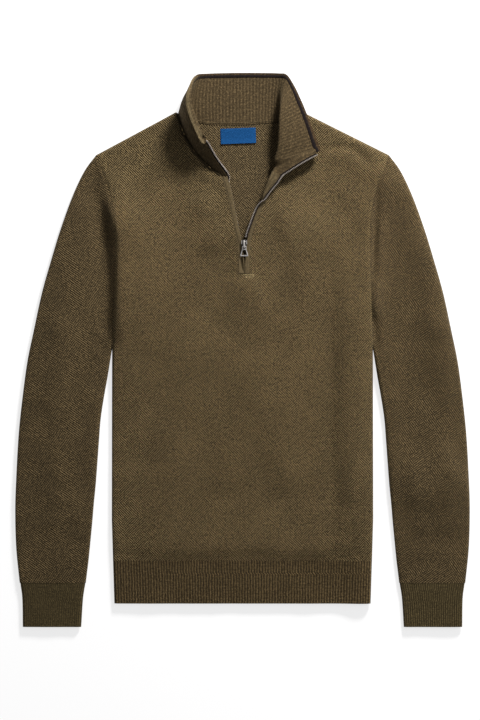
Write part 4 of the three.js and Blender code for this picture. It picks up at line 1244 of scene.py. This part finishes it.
def cord(name, path, radius, material):
    """A round yarn along a line of points."""
    run = unit_rows(np.gradient(path, axis=0))
    side = np.cross(run, [0.0, 0, 1])
    side /= np.maximum(1e-6, np.linalg.norm(side, axis=1, keepdims=True))
    up = np.cross(side, run)
    count = 10
    rings = []
    for a in range(count):
        angle = 2 * math.pi * a / count
        rings.append(path + (side * math.cos(angle) + up * math.sin(angle)) * radius)
    points = np.stack(rings, 1).reshape(-1, 3)
    faces = tube_faces(np.arange(len(points)).reshape(len(path), count))
    uv = np.column_stack([np.tile(np.arange(count) * radius, len(path)), np.repeat(lengths(path), count)])
    return fix_normals(build(name, points, faces, uv, material))


def on_top(xy, up):
    """Points up mm above the front at plan points xy."""
    return np.column_stack([xy, top_level(xy[:, 0], xy[:, 1]) + up])


def seam_cords():
    """The linking yarn that shows in the armhole and neck seams."""
    made = []
    for side in SIDES:
        line = resampled(side_path(ARMHOLE, side), 160, 1, 2)
        made.append(cord("armhole_seam_" + SIDE_NAME[side], on_top(line, -0.95), 0.75, M_SEAM))
        line = resampled(plan(FRONT_NECK[side]), 90, 2, 3)
        made.append(cord("front_neck_seam_" + SIDE_NAME[side], on_top(line, -0.3), 1.55, M_SEAM))
    neck_line = np.concatenate([plan(BACK_NECK[-1])[::-1], plan(BACK_NECK[1])[1:]])
    x, y = resampled(neck_line, 140, 4, 4).T
    path = np.column_stack([x, y + 0.9, np.full(len(x), 1.35)])
    made.append(cord("back_neck_seam", path, 1.15, M_SEAM))
    return made


def front_stitches(name, line, up, length, radius, gap, material):
    path = on_top(line, up)
    return stitches(name, path, np.tile([0.0, 0, 1], (len(path), 1)), length, radius, gap, material)


def placket_stitches():
    """The stitches round the slit's end and the bar tack below it."""
    end = plan([(237.6, 262), (237.7, 273), (239.5, 276.3), (244.2, 277),
                (249, 276.3), (251, 273), (251.2, 262)])
    bar = plan([(243.4, 274.8), (254, 275), (253.6, 276.6), (245, 276.5), (246, 278), (252.6, 278.2)])
    return [
        front_stitches("placket_stitches", resampled(end, 60), 0.0, 1.5, 0.3, 0.7, M_SEAM),
        front_stitches("placket_bartack", resampled(bar, 60), 0.1, 1.0, 0.62, 0.9, M_THREAD),
    ]


def slit_stitches(side):
    line = resampled(plan(FRONT_V[side]), 90, 0, 14)
    line[:, 0] += side * 1.5
    return front_stitches("slit_stitches_" + SIDE_NAME[side], line, -0.12, 1.9, 0.22, 0.7, M_EDGE)


def neck_stitches():
    u, v = np.linspace(7.2, 12.6, 120), 0.035
    n = collar_normal(u, np.full(len(u), v))
    path = collar_point(u, v) + n * (WALL / 2 + 0.15)
    return stitches("neck_stitches", path, n, 2.1, 0.42, 0.15, M_EDGE)


def label():
    """The woven label, pressed in along its edges, its lower edge lifting a little."""
    w, d, thick = 50.0, 22.0, 0.6
    turn = math.radians(2)
    c, s = math.cos(turn), math.sin(turn)
    nx, ny = 60, 30
    b, a = np.meshgrid((np.arange(ny + 1) / ny - 0.5) * d, (np.arange(nx + 1) / nx - 0.5) * w, indexing="ij")
    edge = np.minimum(w / 2 - np.abs(a), d / 2 - np.abs(b))
    z = WALL + SEAM_GAP + thick - 0.25 * hump(edge, 1.1, 0.35) + 0.12 * np.sin(a * 0.12)
    z += 7.8 * np.maximum(0.0, -b / d - 0.1) ** 2 - 0.2 * hump(edge, 0, 0.25)
    x, y = gx(238.3) + a * c - b * s, gy(135.6) + a * s + b * c
    outer = np.stack([x, y, z], -1).reshape(-1, 3)
    inner = outer.copy()
    inner[:, 2] = np.minimum(outer[:, 2] - 0.35, WALL + SEAM_GAP + 2)
    uv = np.stack([a, b], -1).reshape(-1, 2)
    quads = grid_quads(np.arange(a.size).reshape(a.shape))
    return wall("neck_label_weave", outer, inner, quads, uv, M_LABEL, nodes=["neck_label"], slot="label")


# Floor, light and camera, in metres

# name, place, size, power, colour
LIGHTS = [
    ("key", (0.74, 1.66, 0.92), 0.38, 55.5, (1, 0.98, 0.95)),
    ("fill", (1.35, 0.2, 1.0), 0.9, 4, (1, 0.99, 0.97)),
]
PICTURE_MIDDLE = (240, 360)
PICTURE_ROWS = 720
CAMERA_HEIGHT = 2.6
CLOTH_LEVEL = 0.006


def floor_and_world():
    bpy.ops.mesh.primitive_plane_add(size=12, location=(0, 0, -0.0006))
    floor = bpy.context.object
    floor.name = "floor"
    material, _, shader = new_material("floor_white")
    set_inputs(shader, {
        "Base Color": (0.5, 0.5, 0.51, 1), "Roughness": 0.9, "Specular IOR Level": 0.0,
        "Emission Color": (1, 1, 1, 1), "Emission Strength": 0.72,
    })
    floor.data.materials.append(material)
    world = bpy.data.worlds.new("studio")
    bpy.context.scene.world = world
    world.use_nodes = True
    set_inputs(world.node_tree.nodes["Background"], {"Color": (0.97, 0.98, 1, 1), "Strength": 0.17})


def area_light(name, location, size, power, colour):
    data = bpy.data.lights.new(name, "AREA")
    data.energy = power
    data.size = size
    data.color = colour
    lamp = bpy.data.objects.new(name, data)
    bpy.context.collection.objects.link(lamp)
    lamp.location = location
    aim = Vector((0.05, 0.05, 0)) - Vector(location)
    lamp.rotation_mode = "QUATERNION"
    lamp.rotation_quaternion = aim.to_track_quat("-Z", "Y")


def camera_above():
    """Straight above the picture's middle, framed so that a picture row is GRID mm at the cloth's level."""
    data = bpy.data.cameras.new("camera")
    camera = bpy.data.objects.new("camera", data)
    bpy.context.collection.objects.link(camera)
    x, y = PICTURE_MIDDLE
    camera.location = ((x - MID_X) * GRID * MM, ((MID_Y - y) * GRID + SHIFT_Y) * MM, CAMERA_HEIGHT)
    camera.rotation_euler = (0, 0, 0)
    data.sensor_fit = "AUTO"
    data.sensor_width = 36
    data.lens = data.sensor_width * (CAMERA_HEIGHT - CLOTH_LEVEL) / (PICTURE_ROWS * GRID * MM)
    data.clip_end = 20
    bpy.context.scene.camera = camera
    bpy.context.scene.view_settings.view_transform = "Standard"
    bpy.context.scene.view_settings.look = "None"


front = front_panel()
back = back_panel()
sleeves = [sleeve(s) for s in SIDES]
cuffs = [cuff(s) for s in SIDES]
hem = hem_band()
neck = collar()
stripe = tipping()
strip = collar_edge()
bands = [zip_band(s) for s in SIDES]
tapes = [zip_tape(s) for s in SIDES]
teeth = [zip_teeth(s) for s in SIDES]
slider_plate()
slider_bridge()
slider_rails()
pull()
threads = [*placket_stitches(), *(slit_stitches(s) for s in SIDES)]
neck_thread = neck_stitches()
cords = seam_cords()
tag = label()

floor_and_world()
for light in LIGHTS:
    area_light(*light)
camera_above()
